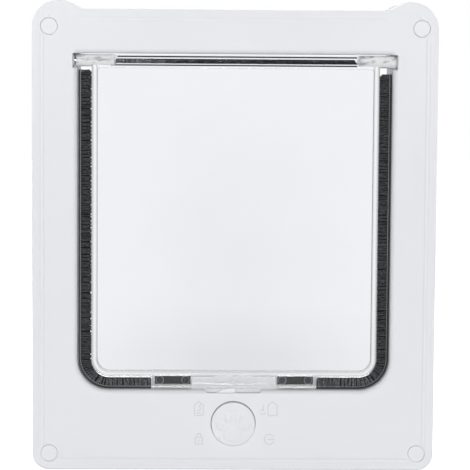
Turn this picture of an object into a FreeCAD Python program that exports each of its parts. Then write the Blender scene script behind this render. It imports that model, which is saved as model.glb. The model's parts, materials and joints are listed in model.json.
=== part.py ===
import FreeCAD, Part
import math
import os

# Four-way locking cat flap for a door: two moulded frames that clamp a door between them,
# a clear swinging flap between brush seals, and a rotary lock below it.
# Millimetres. +X is right and +Z up as seen from the room, and the room side is towards -Y.
# The origin is the middle of the passage, in the plane where the room-side frame meets the door.

V = FreeCAD.Vector

# Door and passage
door_thickness = 40.0
passage_width = 195.6
passage_height = 210.2
passage_lower_radius = 19.4
passage_upper_radius = 1.2
passage_edge_radius = 3.2

# Frames
side_margin = 28.2
lintel_margin = 27.4
lower_corner_radius = 10.3
ear_radius = 17.0
ear_rise = 5.4
ear_blend_radius = 8.0
room_frame_depth = 17.0
outer_frame_depth = 11.0
plate_thickness = 2.6
skirt_wall = 2.2
outline_edge_radius = 1.4
tunnel_wall = 2.2
room_sleeve_reach = 26.0
outer_sleeve_overlap = 12.0
outer_sleeve_wall = 2.0
sleeve_play = 0.4
rib_thickness = 1.4
rib_shares = (-0.17, 0.17)
rib_rim_gap = 4.0
groove_inset = 4.6
groove_width = 3.1
groove_slope = 0.9
groove_depth = 0.55

# Fixing screws, their caps and the threaded sleeves that they turn into
screw_inset = 10.6
screw_rise = 10.6
screw_drop = 11.0
screw_radius = 2.0
screw_core_radius = 1.8
screw_head_radius = 4.0
screw_head_height = 2.4
screw_slot_width = 1.0
screw_head_edge = 0.8
cap_radius = 5.15
cap_thickness = 1.6
cap_proud = 0.3
cap_ring_gap = 0.3
cap_plug_radius = 4.7
cap_plug_length = 0.8
cap_plug_wall = 1.0
cap_edge_radius = 0.35
cup_radius = 7.0
cup_depth = 4.8
cup_floor = 2.0
boss_radius = 4.6
boss_shortfall = 0.5
insert_radius = 3.2
insert_length = 6.4
insert_flange_radius = 3.9
insert_flange = 0.8
screw_grip = 6.0
slide_fit = 0.1

# Flap and hinge
flap_setback = 8.8
flap_side_gap = 8.0
flap_lower_gap = 7.4
flap_corner_radius = 11.5
flap_upper_radius = 0.5
window_upper_radius = 1.5
window_air = 0.6
lower_rim_extra = 0.4
flap_rim_width = 3.6
flap_rim_thickness = 5.0
pane_thickness = 3.0
tab_thickness = 4.0
tab_gap = 3.0
hinge_drop = 4.4
barrel_radius = 3.8
barrel_end_gap = 1.5
flap_rest_shift = 0.45
channel_radius = 1.9
channel_slot = 1.6
seal_pin_gap = 0.5
seal_end_slant = 2.4
seal_tip_radius = 3.98
pin_radius = 1.5
pin_insert = 23.4
pin_chamfer = 0.3
hinge_play = 0.05
pocket_side_depth = 3.1
pocket_height = 9.4
pocket_air = 1.2
pocket_step = 2.0
pocket_back_wall = 2.2
bush_radius = 2.5
bush_flange_radius = 3.4
bush_flange = 0.8
finger_block_width = 27.2
finger_block_gap = 2.6
finger_block_top = 9.0
finger_rib_width = 1.6
finger_cell_depth = 0.8

# Magnets in the flap and the keepers under the sill
magnet_house_start = 26.6
magnet_house_end = 51.9
magnet_house_gap = 1.0
magnet_house_lower_radius = 2.0
magnet_house_upper_radius = 0.5
holder_start = 27.4
holder_length = 22.4
holder_height = 5.1
holder_thickness = 3.0
holder_rise = 1.9
holder_front_wall = 1.0
holder_corner_radius = 0.8
magnet_radius = 2.25
magnet_length = 2.2
magnet_end_inset = 3.1
keeper_length = 22.0
keeper_depth = 6.0
keeper_thickness = 1.2
keeper_seat_wall = 1.4

# Brush seals
brush_wall_gap = 0.1
brush_backing = 1.0
brush_backing_depth = 5.6
brush_pile_depth = 4.4
brush_flap_gap = 0.3
brush_top_drop = 10.0
brush_right_cut = 2.6
brush_house_gap = 0.3
tuft_pitch = 2.4
tuft_depth = 0.9

# Lock: knob, spindle, two cams either side of the flap's lower edge, and a detent
knob_radius = 13.5
knob_ring_gap = 0.6
knob_thickness = 5.0
knob_edge_radius = 2.0
knob_recess = 1.0
knob_seat_gap = 0.2
knob_paw_height = 0.6
pointer_angle = 225
pointer_half_angle = 6
pointer_reach = 3.0
hub_radius = 4.0
spindle_radius = 2.8
spindle_flat = 2.1
cam_block_radius = 25.2
cam_overlap = 1.8
cam_free_gap = 1.8
cam_skirt_gap = 2.4
cam_cut_radius = 17.5
cam_step_angle = 3.0
cam_thickness = 2.4
cam_side_gap = 1.0
detent_radius = 9.0
detent_width = 3.6
detent_notch_radius = 1.5
detent_notch_depth = 0.7
spacer_radius = 4.2
washer_radius = 4.2
washer_thickness = 0.6
lock_screw_radius = 1.0
lock_screw_head_radius = 2.7
lock_screw_head_height = 1.5
lock_screw_length = 7.0
lock_screw_slot_width = 0.8
cover_side_edge = 4.9
cover_thickness = 1.0
cover_rim_gap = 1.0
cover_drop = 3.8
cover_rise = 0.8
cover_hole_radius = 4.7
cover_corner_radius = 3.0
cover_boss_gap = 1.9
cover_boss_radius = 2.4
cover_screw_radius = 1.1
cover_screw_length = 7.0
cover_screw_head_radius = 2.1
cover_screw_head_height = 0.8
cover_screw_slot_width = 0.6
spring_thickness = 0.4
spring_width = 3.4
spring_clearance = 0.25
spring_nose_radius = 1.2
spring_nose_height = 0.5
post_width = 3.0
post_height = 3.6
post_clearance = 1.0
post_end_wall = 0.8
spring_end_gap = 0.2
notch_half_width = 17.2
notch_drop = 1.85
notch_corner_radius = 1.4
slot_side_gap = 0.6
slot_air = 0.5
slot_rear_gap = 0.8

# The knob's paw in shares of the knob's radius: arcs round the main pad, then x, z and lean of each toe
paw_pad_arcs = (
    ((-0.363, -0.711), (0.0, -0.785), (0.363, -0.711)),
    ((0.363, -0.711), (0.430, -0.518), (0.348, -0.281)),
    ((0.348, -0.281), (0.0, -0.022), (-0.348, -0.281)),
    ((-0.348, -0.281), (-0.430, -0.518), (-0.363, -0.711)),
)
paw_toes = ((-0.607, -0.059, 24), (-0.230, 0.296, 8), (0.230, 0.296, -8), (0.607, -0.059, -24))
paw_toe_half_length = 0.207
paw_toe_half_width = 0.148

# Levels, planes and widths worked out from the sizes above
lock_height = skirt_wall + cam_skirt_gap + cam_block_radius
sill_margin = lock_height + cam_block_radius - cam_overlap - finger_block_gap
cam_free_radius = cam_block_radius - cam_overlap - cam_free_gap
frame_width = passage_width + 2 * side_margin
flap_half = passage_width / 2 - flap_side_gap
pocket_half_width = passage_width / 2 + pocket_side_depth
brush_inner_end = magnet_house_end + brush_house_gap
cover_screw_spread = cam_block_radius + cover_boss_gap + cover_boss_radius
cover_half_width = cover_screw_spread + cover_side_edge
sill_z = -passage_height / 2
lintel_z = passage_height / 2
frame_bottom_z = sill_z - sill_margin
frame_top_z = lintel_z + lintel_margin
ear_x = frame_width / 2 - ear_radius
ear_z = frame_top_z + ear_rise - ear_radius
room_face_y = -room_frame_depth
outer_back_y = door_thickness
outer_face_y = door_thickness + outer_frame_depth
screw_x = frame_width / 2 - screw_inset
screw_low_z = frame_bottom_z + screw_rise
screw_high_z = frame_top_z - screw_drop
screw_places = {
    "lower_left": (-screw_x, screw_low_z),
    "lower_right": (screw_x, screw_low_z),
    "upper_left": (-screw_x, screw_high_z),
    "upper_right": (screw_x, screw_high_z),
}
flap_y = room_face_y + flap_setback
hinge_z = lintel_z - hinge_drop
flap_bottom_z = sill_z + flap_lower_gap
barrel_half = pocket_half_width - barrel_end_gap
seal_half = barrel_half - pin_insert - seal_pin_gap
pocket_floor_z = lintel_z - pocket_height
outer_grow = tunnel_wall + sleeve_play
lock_z = frame_bottom_z + lock_height
cam_front_y = flap_y - tab_thickness / 2 - cam_side_gap - cam_thickness
cam_rear_y = flap_y + tab_thickness / 2 + cam_side_gap
washer_y = cam_rear_y + cam_thickness
cover_back_y = -cover_rim_gap
cover_front_y = cover_back_y - cover_thickness
detent_y = flap_y - detent_width / 2
sides = {"left": -1, "right": 1}


def box(x0, x1, y0, y1, z0, z1):
    """A block between two corners, whichever way round they are given."""
    low = V(min(x0, x1), min(y0, y1), min(z0, z1))
    return Part.makeBox(abs(x1 - x0), abs(y1 - y0), abs(z1 - z0), low)


def rod_y(x, z, radius, y0, y1):
    return Part.makeCylinder(radius, y1 - y0, V(x, y0, z), V(0, 1, 0))


def rod_x(x0, x1, y, z, radius):
    return Part.makeCylinder(radius, abs(x1 - x0), V(min(x0, x1), y, z), V(1, 0, 0))


def line(x0, z0, x1, z1, y):
    return Part.LineSegment(V(x0, y, z0), V(x1, y, z1)).toShape()


def arc(cx, cz, radius, start, end, y):
    """An arc in the XZ plane between two angles in degrees, anticlockwise from +X towards +Z."""
    points = []
    for share in (0.0, 0.5, 1.0):
        turn = math.radians(start + (end - start) * share)
        points.append(V(cx + radius * math.cos(turn), y, cz + radius * math.sin(turn)))
    return Part.Arc(*points).toShape()


def prism(wire, y1):
    """A solid from a wire in an XZ plane, pushed along Y until it reaches y1."""
    y0 = wire.BoundBox.YMin
    return Part.Face(wire).extrude(V(0, y1 - y0, 0))


def fuse_all(first, others):
    return first.fuse(list(others)).removeSplitter() if others else first


def rounded_rectangle(half, z0, z1, lower_radius, upper_radius, y):
    """A wire symmetric about X = 0 with one radius at its lower corners and another at its upper."""
    low, high = lower_radius, upper_radius
    return Part.Wire([
        line(-half + low, z0, half - low, z0, y),
        arc(half - low, z0 + low, low, -90, 0, y),
        line(half, z0 + low, half, z1 - high, y),
        arc(half - high, z1 - high, high, 0, 90, y),
        line(half - high, z1, -half + high, z1, y),
        arc(-half + high, z1 - high, high, 90, 180, y),
        line(-half, z1 - high, -half, z0 + low, y),
        arc(-half + low, z0 + low, low, 180, 270, y),
    ])


def frame_outline(inset, y):
    """The frame's outline moved inwards: rounded below, with an ear at each upper corner."""
    half = frame_width / 2 - inset
    bottom = frame_bottom_z + inset
    top = frame_top_z - inset
    corner = lower_corner_radius - inset
    ear = ear_radius - inset
    blend = ear_blend_radius + inset
    blend_z = frame_top_z + ear_blend_radius
    reach = ear_radius + ear_blend_radius
    blend_x = ear_x - math.sqrt(reach ** 2 - (blend_z - ear_z) ** 2)
    lean = math.degrees(math.atan2(blend_z - ear_z, blend_x - ear_x))
    return Part.Wire([
        line(-half + corner, bottom, half - corner, bottom, y),
        arc(half - corner, bottom + corner, corner, -90, 0, y),
        line(half, bottom + corner, half, ear_z, y),
        arc(ear_x, ear_z, ear, 0, lean, y),
        arc(blend_x, blend_z, blend, lean - 180, -90, y),
        line(blend_x, top, -blend_x, top, y),
        arc(-blend_x, blend_z, blend, -90, -lean, y),
        arc(-ear_x, ear_z, ear, 180 - lean, 180, y),
        line(-half, ear_z, -half, bottom + corner, y),
        arc(-half + corner, bottom + corner, corner, 180, 270, y),
    ])


def passage_outline(grow, y):
    """The passage's outline moved outwards by grow."""
    return rounded_rectangle(
        passage_width / 2 + grow, sill_z - grow, lintel_z + grow,
        passage_lower_radius + grow, passage_upper_radius + grow, y,
    )


def edges_in_plane(shape, y, window=None):
    """Edges that lie in the plane y and, where a window is given, inside its half width and two heights."""
    found = []
    for edge in shape.Edges:
        b = edge.BoundBox
        if abs(b.YMin - y) > 0.001 or abs(b.YMax - y) > 0.001:
            continue
        if window is None or (
            b.XMin > -window[0] and b.XMax < window[0] and b.ZMin > window[1] and b.ZMax < window[2]
        ):
            found.append(edge)
    return found


def groove_tool(face_y, inwards):
    """A shallow V-sided groove that follows the outline and stops short of each screw."""
    floor_y = face_y + inwards * groove_depth
    above_y = face_y - inwards * groove_depth
    outer = Part.makeLoft([
        frame_outline(groove_inset - groove_slope, above_y),
        frame_outline(groove_inset + groove_slope, floor_y),
    ], True, True)
    far = groove_inset + groove_width
    inner = Part.makeLoft([
        frame_outline(far + groove_slope, above_y),
        frame_outline(far - groove_slope, floor_y),
    ], True, True)
    tool = outer.cut(inner)
    stops = [rod_y(x, z, cup_radius, face_y - 2, face_y + 2) for x, z in screw_places.values()]
    return tool.cut(stops)


def frame_shell(face_y, back_y, grow):
    """A frame's plate and skirt: a rounded front, hollow behind, with its rim in the door's plane."""
    inwards = 1 if back_y > face_y else -1
    shell = prism(frame_outline(0, face_y), back_y)
    shell = shell.makeFillet(outline_edge_radius, edges_in_plane(shell, face_y))
    shell = shell.cut(prism(frame_outline(skirt_wall, face_y + inwards * plate_thickness), back_y))
    return shell.cut(prism(passage_outline(grow, face_y), back_y))


def frame_ribs(face_y, back_y, tunnel_grow, below=True):
    """Stiffening ribs between the tunnel and the skirt, lower than the rim."""
    inwards = 1 if back_y > face_y else -1
    y0 = face_y + inwards * plate_thickness / 2
    y1 = back_y - inwards * rib_rim_gap
    x_in = passage_width / 2 + tunnel_grow - tunnel_wall / 2
    x_out = frame_width / 2 - skirt_wall / 2
    z_up = lintel_z + tunnel_grow - tunnel_wall / 2
    z_down = sill_z - tunnel_grow + tunnel_wall / 2
    half = rib_thickness / 2
    ribs = []
    for share in rib_shares:
        z = share * passage_height
        for side in (-1, 1):
            ribs.append(box(side * x_in, side * x_out, y0, y1, z - half, z + half))
        x = share * passage_width
        ribs.append(box(x - half, x + half, y0, y1, z_up, frame_top_z - skirt_wall / 2))
        if below:
            ribs.append(box(x - half, x + half, y0, y1, z_down, frame_bottom_z + skirt_wall / 2))
    return ribs


def round_passage_edge(frame, face_y, grow):
    margin = grow + side_margin / 4
    window = (passage_width / 2 + margin, sill_z - margin, lintel_z + margin)
    return frame.makeFillet(passage_edge_radius, edges_in_plane(frame, face_y, window))


def room_side_frame():
    """The moulding on the room side, with the tunnel, hinge pockets, lock housing and screw cups."""
    plate_y = room_face_y + plate_thickness
    inside_plate_y = room_face_y + plate_thickness / 2
    frame = frame_shell(room_face_y, 0, 0)
    tunnel = prism(passage_outline(tunnel_wall, inside_plate_y), room_sleeve_reach)
    tunnel = tunnel.cut(prism(passage_outline(0, room_face_y - 1), room_sleeve_reach + 1))
    added = [tunnel] + frame_ribs(room_face_y, 0, tunnel_wall, below=False)
    for x, z in screw_places.values():
        added.append(rod_y(x, z, cup_radius, inside_plate_y, room_face_y + cup_depth + cup_floor))
        added.append(rod_y(x, z, boss_radius, room_face_y + cup_depth, -boss_shortfall))
    for side in (-1, 1):
        added.append(box(
            side * (passage_width / 2 + tunnel_wall / 2), side * (pocket_half_width + tunnel_wall),
            inside_plate_y, flap_y + pocket_reach() + pocket_back_wall,
            pocket_floor_z - tunnel_wall, lintel_z + tunnel_wall,
        ))
        added.append(keeper_seat(side))
    added += lock_housing()
    frame = fuse_all(frame, added)
    frame = round_passage_edge(frame, room_face_y, 0)
    cuts = [groove_tool(room_face_y, 1)]
    for x, z in screw_places.values():
        cuts.append(rod_y(x, z, cap_radius + cap_ring_gap, room_face_y - 1, room_face_y + cap_seat_depth()))
        cuts.append(rod_y(x, z, cap_plug_radius + slide_fit, room_face_y - 1, room_face_y + cup_depth))
        cuts.append(rod_y(x, z, screw_core_radius + 2 * slide_fit, room_face_y - 1, 1))
    for side in (-1, 1):
        cuts.append(box(
            side * (passage_width / 2 - pocket_step), side * pocket_half_width,
            room_face_y - 1, flap_y + pocket_reach(), pocket_floor_z, lintel_z,
        ))
        cuts.append(rod_x(
            side * passage_width / 2, side * (pocket_half_width + tunnel_wall + 1),
            flap_y, hinge_z, bush_radius + slide_fit / 2,
        ))
        cuts.append(keeper_slot(side))
    cuts += lock_cuts(plate_y)
    return frame.cut(cuts).removeSplitter()


def pocket_reach():
    """How far each hinge pocket runs behind the hinge axis."""
    return barrel_radius + pocket_air


def cap_seat_depth():
    return cap_thickness - cap_proud


def keeper_seat(side):
    """A block under the sill that holds one steel keeper plate."""
    middle = side * (holder_start + holder_length / 2)
    half = keeper_length / 2 + keeper_seat_wall
    top = sill_z - tunnel_wall / 2
    low = sill_z - tunnel_wall - keeper_thickness - keeper_seat_wall
    return box(
        middle - half, middle + half, flap_y - keeper_depth / 2 - keeper_seat_wall,
        flap_y + keeper_depth / 2, low, top,
    )


def keeper_slot(side):
    middle = side * (holder_start + holder_length / 2)
    half = keeper_length / 2 + slide_fit
    top = sill_z - tunnel_wall
    return box(
        middle - half, middle + half, flap_y - keeper_depth / 2 - slide_fit,
        flap_y + keeper_depth / 2 + 1, top - keeper_thickness - slide_fit, top,
    )


def lock_housing():
    """Walls, screw bosses and spring posts round the cams, behind the room-side plate."""
    y0 = room_face_y + plate_thickness / 2
    z0 = frame_bottom_z + skirt_wall / 2
    z1 = sill_z - tunnel_wall / 2
    parts = []
    for side in (-1, 1):
        parts.append(box(
            side * (cover_half_width - rib_thickness), side * cover_half_width,
            y0, cover_front_y, z0, z1,
        ))
        parts.append(rod_y(side * cover_screw_spread, lock_z, cover_boss_radius, y0, cover_front_y))
        parts.append(spring_post(side, y0))
    parts.append(rod_y(0, lock_z, hub_radius + skirt_wall, y0, cam_front_y - knob_seat_gap))
    return parts


def spring_level():
    """The top face of the leaf spring, just under the detent disc's nose."""
    return lock_z - detent_radius - spring_clearance - spring_nose_height


def post_start():
    """Where a spring post begins in X, so that the cams clear it as they turn."""
    reach = cam_block_radius + post_clearance
    rise = lock_z - (spring_level() + post_height / 2)
    return math.sqrt(reach ** 2 - rise ** 2)


def spring_post(side, y0):
    middle = spring_level() - spring_thickness / 2
    x0 = post_start()
    return box(
        side * x0, side * (x0 + post_width), y0, flap_y + spring_width / 2,
        middle - post_height / 2, middle + post_height / 2,
    )


def slot_half_width():
    """Half the cams' slot in the sill: the widest chord that a cam shows there, and some air."""
    rise = sill_z - tunnel_wall - lock_z
    return math.sqrt(cam_block_radius ** 2 - rise ** 2) + slot_side_gap


def lock_cuts(plate_y):
    """The knob's recess and bore, the notch in the sill's lip, a slot for each cam and small holes."""
    top = sill_z + 1
    notch_z = sill_z - notch_drop
    notch = prism(
        rounded_rectangle(
            notch_half_width, notch_z, top + 6, notch_corner_radius, notch_corner_radius, room_face_y - 1
        ),
        plate_y + slot_rear_gap,
    )
    notch = notch.common(box(
        -notch_half_width - 1, notch_half_width + 1, room_face_y - 2, plate_y + 2, notch_z - 1, top,
    ))
    slots = []
    for y0, y1 in (
        (plate_y, cam_front_y + cam_thickness + slot_air), (cam_rear_y - slot_air, washer_y + slot_rear_gap),
    ):
        slots.append(box(-slot_half_width(), slot_half_width(), y0, y1, sill_z - tunnel_wall - 1, top))
    cuts = [
        rod_y(0, lock_z, knob_radius + knob_ring_gap, room_face_y - 1, room_face_y + knob_recess),
        rod_y(0, lock_z, hub_radius + slide_fit, room_face_y - 1, cam_front_y),
        notch,
    ] + slots
    level = spring_level()
    for side in (-1, 1):
        cuts.append(rod_y(
            side * cover_screw_spread, lock_z, cover_screw_radius + slide_fit / 2,
            cover_front_y - cover_screw_length, cover_front_y + 1,
        ))
        cuts.append(box(
            side * (post_start() - 1), side * (post_start() + post_width - post_end_wall),
            flap_y - spring_width / 2 - slide_fit, flap_y + spring_width,
            level - spring_thickness - slide_fit, level + slide_fit,
        ))
    return cuts


def outer_side_frame():
    """The moulding on the outer side, whose wider tunnel slides over the room-side one."""
    inside_plate_y = outer_face_y - plate_thickness / 2
    sleeve_start_y = room_sleeve_reach - outer_sleeve_overlap
    frame = frame_shell(outer_face_y, outer_back_y, outer_grow)
    sleeve = prism(passage_outline(outer_grow + outer_sleeve_wall, sleeve_start_y), inside_plate_y)
    sleeve = sleeve.cut(prism(passage_outline(outer_grow, sleeve_start_y - 1), outer_face_y + 1))
    added = [sleeve] + frame_ribs(outer_face_y, outer_back_y, outer_grow + outer_sleeve_wall)
    for x, z in screw_places.values():
        added.append(rod_y(x, z, boss_radius + 1, outer_back_y + boss_shortfall, inside_plate_y))
    frame = fuse_all(frame, added)
    frame = round_passage_edge(frame, outer_face_y, outer_grow)
    cuts = [groove_tool(outer_face_y, -1)]
    start = outer_back_y + boss_shortfall
    for x, z in screw_places.values():
        cuts.append(rod_y(x, z, insert_radius + slide_fit / 2, start - 1, start + insert_length))
        cuts.append(rod_y(x, z, insert_flange_radius + slide_fit / 2, start - 1, start + insert_flange))
    return frame.cut(cuts).removeSplitter()


def screw(x, z):
    """A fixing screw: a slotted head in the cup, a plain shank across the door, a threaded end."""
    seat_y = room_face_y + cup_depth
    head = rod_y(x, z, screw_head_radius, seat_y - screw_head_height, seat_y)
    head = head.makeFillet(screw_head_edge, edges_in_plane(head, seat_y - screw_head_height))
    neck = rod_y(x, z, screw_core_radius, seat_y, 0)
    shank = rod_y(x, z, screw_radius, 0, door_thickness)
    thread = rod_y(x, z, screw_core_radius, door_thickness, door_thickness + screw_grip)
    slot = box(
        x - screw_head_radius, x + screw_head_radius, seat_y - screw_head_height - 1,
        seat_y - screw_head_height / 2, z - screw_slot_width / 2, z + screw_slot_width / 2,
    )
    return head.fuse([neck, shank, thread]).cut(slot)


def screw_cap(x, z):
    """A press-in cap over a screw: a disc that lies flush in the face, with a ring plug behind."""
    front_y = room_face_y - cap_proud
    back_y = room_face_y + cap_seat_depth()
    disc = rod_y(x, z, cap_radius, front_y, back_y)
    disc = disc.makeFillet(cap_edge_radius, edges_in_plane(disc, front_y))
    plug = rod_y(x, z, cap_plug_radius, back_y, back_y + cap_plug_length)
    hollow = rod_y(x, z, cap_plug_radius - cap_plug_wall, back_y - cap_thickness / 3, back_y + 9)
    return disc.fuse(plug).cut(hollow)


def threaded_sleeve(x, z):
    """A flanged brass insert in the outer frame's boss."""
    start = outer_back_y + boss_shortfall
    body = rod_y(x, z, insert_radius, start, start + insert_length)
    flange = rod_y(x, z, insert_flange_radius, start, start + insert_flange)
    bore = rod_y(x, z, screw_core_radius + slide_fit / 2, start - 1, start + insert_length + 1)
    return body.fuse(flange).cut(bore)


def flap_pane():
    """The clear moulding: a rimmed pane, the hinge barrel, magnet housings and the finger block."""
    rim_front = flap_y - flap_rim_thickness / 2
    rim_back = flap_y + flap_rim_thickness / 2
    body = prism(
        rounded_rectangle(
            flap_half, flap_bottom_z, hinge_z, flap_corner_radius, flap_upper_radius, rim_front
        ), rim_back
    )
    window_top = hinge_z - barrel_radius - window_air
    inner_radius = flap_corner_radius - flap_rim_width
    for y0, y1 in (
        (rim_front - 1, flap_y - pane_thickness / 2), (flap_y + pane_thickness / 2, rim_back + 1),
    ):
        window = rounded_rectangle(
            flap_half - flap_rim_width, flap_bottom_z + flap_rim_width + lower_rim_extra, window_top,
            inner_radius, window_upper_radius, y0,
        )
        body = body.cut(prism(window, y1))
    barrel = rod_x(-barrel_half, barrel_half, flap_y, hinge_z, barrel_radius)
    tab_low = sill_z + tab_gap
    tab = box(
        -magnet_house_start - 1, magnet_house_start + 1, flap_y - tab_thickness / 2,
        flap_y + tab_thickness / 2, tab_low, flap_bottom_z + 1,
    )
    block_half = finger_block_width / 2
    block_top = sill_z + finger_block_top
    block = box(
        -block_half, block_half, flap_y - tab_thickness / 2, flap_y + tab_thickness / 2,
        sill_z + finger_block_gap, block_top,
    )
    added = [barrel, tab, block]
    for side in (-1, 1):
        added.append(magnet_house(side, rim_front, rim_back))
    body = fuse_all(body, added)
    cuts = finger_cells(block_half, block_top)
    half = seal_half + slide_fit
    cuts.append(rod_x(-half, half, flap_y, hinge_z, channel_radius))
    cuts.append(box(
        -half, half, flap_y - channel_slot / 2, flap_y + channel_slot / 2,
        hinge_z, hinge_z + barrel_radius + 1,
    ))
    for side in (-1, 1):
        cuts.append(rod_x(
            side * (barrel_half - pin_insert), side * (barrel_half + 1), flap_y, hinge_z,
            pin_radius + slide_fit / 4,
        ))
        cuts.append(holder_block(side, slide_fit / 2, rim_back - holder_back_y() + 1))
    return body.cut(cuts).removeSplitter()


def magnet_house(side, y0, y1):
    """A rounded housing at the flap's lower edge for one magnet holder."""
    centre = side * (magnet_house_start + magnet_house_end) / 2
    half = (magnet_house_end - magnet_house_start) / 2
    wire = rounded_rectangle(
        half, sill_z + magnet_house_gap, flap_bottom_z + flap_rim_width + lower_rim_extra,
        magnet_house_lower_radius, magnet_house_upper_radius, y0,
    )
    wire.translate(V(centre, 0, 0))
    return prism(wire, y1)


def finger_cells(block_half, block_top):
    """Shallow cells between the finger block's three ribs, on both faces."""
    cells = []
    low = sill_z + finger_block_gap + finger_rib_width
    for side in (-1, 1):
        x0 = side * finger_rib_width / 2
        x1 = side * (block_half - finger_rib_width)
        cells.append(box(
            x0, x1, flap_y - tab_thickness / 2 - 1, flap_y - tab_thickness / 2 + finger_cell_depth,
            low, block_top - finger_rib_width / 2,
        ))
        cells.append(box(
            x0, x1, flap_y + tab_thickness / 2 - finger_cell_depth, flap_y + tab_thickness / 2 + 1,
            low, block_top - finger_rib_width / 2,
        ))
    return cells


def holder_back_y():
    return flap_y - flap_rim_thickness / 2 + holder_front_wall + holder_thickness


def holder_block(side, grow, extra):
    """The space of one magnet holder, grown all round and longer towards the outer side."""
    x0 = holder_start - grow
    x1 = holder_start + holder_length + grow
    z0 = sill_z + magnet_house_gap + holder_rise
    front = holder_back_y() - holder_thickness
    return box(
        side * x0, side * x1, front - grow, holder_back_y() + extra,
        z0 - grow, z0 + holder_height + grow,
    )


def magnet_places(side):
    z = sill_z + magnet_house_gap + holder_rise + holder_height / 2
    near = holder_start + magnet_end_inset
    far = holder_start + holder_length - magnet_end_inset
    return [(side * near, z), (side * far, z)]


def magnet_holder(side):
    """A dark bar with a round pocket for a magnet near each end."""
    bar = holder_block(side, 0, 0)
    front = holder_back_y() - holder_thickness
    pockets = [
        rod_y(x, z, magnet_radius + slide_fit / 2, front - 1, front + magnet_length + slide_fit / 2)
        for x, z in magnet_places(side)
    ]
    upright = [e for e in bar.Edges if e.BoundBox.YLength > 1]
    return bar.makeFillet(holder_corner_radius, upright).cut(pockets)


def flap_magnet(x, z):
    front = holder_back_y() - holder_thickness
    return rod_y(x, z, magnet_radius, front, front + magnet_length)


def flap_top_seal():
    """A pile strip in the hinge barrel's channel: a round base, and pile up through the slot."""
    half = seal_half
    base = rod_x(-half, half, flap_y, hinge_z, channel_radius - slide_fit / 2)
    pile = box(
        -half, half, flap_y - channel_slot / 2 + slide_fit / 2, flap_y + channel_slot / 2 - slide_fit / 2,
        hinge_z, hinge_z + seal_tip_radius,
    )
    strip = base.fuse(pile)
    reach = seal_tip_radius + channel_radius
    for side in (-1, 1):
        end = side * half
        cut = Part.makePolygon([
            V(end - side * seal_end_slant, 0, hinge_z + seal_tip_radius + 0.01),
            V(end + side, 0, hinge_z + seal_tip_radius + 0.01),
            V(end + side, 0, hinge_z + seal_tip_radius - reach),
            V(end, 0, hinge_z + seal_tip_radius - reach),
            V(end - side * seal_end_slant, 0, hinge_z + seal_tip_radius + 0.01),
        ])
        cut.translate(V(0, flap_y - barrel_radius, 0))
        strip = strip.cut(prism(cut, flap_y + barrel_radius))
    return strip.removeSplitter()


def hinge_pin(side):
    """A steel pin pressed into the barrel's end, which turns in the bush beside it."""
    start = barrel_half - pin_insert
    end = pocket_half_width + tunnel_wall
    pin = rod_x(side * start, side * end, flap_y, hinge_z, pin_radius)
    tips = [e for e in pin.Edges if abs(abs(e.BoundBox.Center.x) - end) < 0.01]
    return pin.makeChamfer(pin_chamfer, tips)


def hinge_bush(side):
    """A flanged nylon bush in the hinge pocket's side wall."""
    wall_x = side * pocket_half_width
    body = rod_x(wall_x, side * (pocket_half_width + tunnel_wall), flap_y, hinge_z, bush_radius)
    flange = rod_x(side * (pocket_half_width - bush_flange), wall_x, flap_y, hinge_z, bush_flange_radius)
    bore = rod_x(side * passage_width / 2, side * (pocket_half_width + 9), flap_y, hinge_z, pin_radius + hinge_play)
    return body.fuse(flange).cut(bore)


def keeper_plate(side):
    """A steel strip under the sill that the flap's magnets pull towards."""
    middle = side * (holder_start + holder_length / 2)
    top = sill_z - tunnel_wall - slide_fit / 2
    return box(
        middle - keeper_length / 2, middle + keeper_length / 2, flap_y - keeper_depth / 2,
        flap_y + keeper_depth / 2, top - keeper_thickness, top,
    )


def brush_path(half, low_z, radius, top_z, end_x, steps):
    """Points down one side, round the lower corner and along the sill, each with its outward normal."""
    upright = top_z - (low_z + radius)
    corner = radius * math.pi / 2
    flat = (half - radius) - end_x
    points = []
    for i in range(steps + 1):
        s = (upright + corner + flat) * i / steps
        if s <= upright:
            points.append((half, top_z - s, 1.0, 0.0))
        elif s <= upright + corner:
            turn = -(s - upright) / radius
            c, n = math.cos(turn), math.sin(turn)
            points.append((half - radius + radius * c, low_z + radius + radius * n, c, n))
        else:
            points.append((half - radius - (s - upright - corner), low_z, 0.0, -1.0))
    return points


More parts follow.
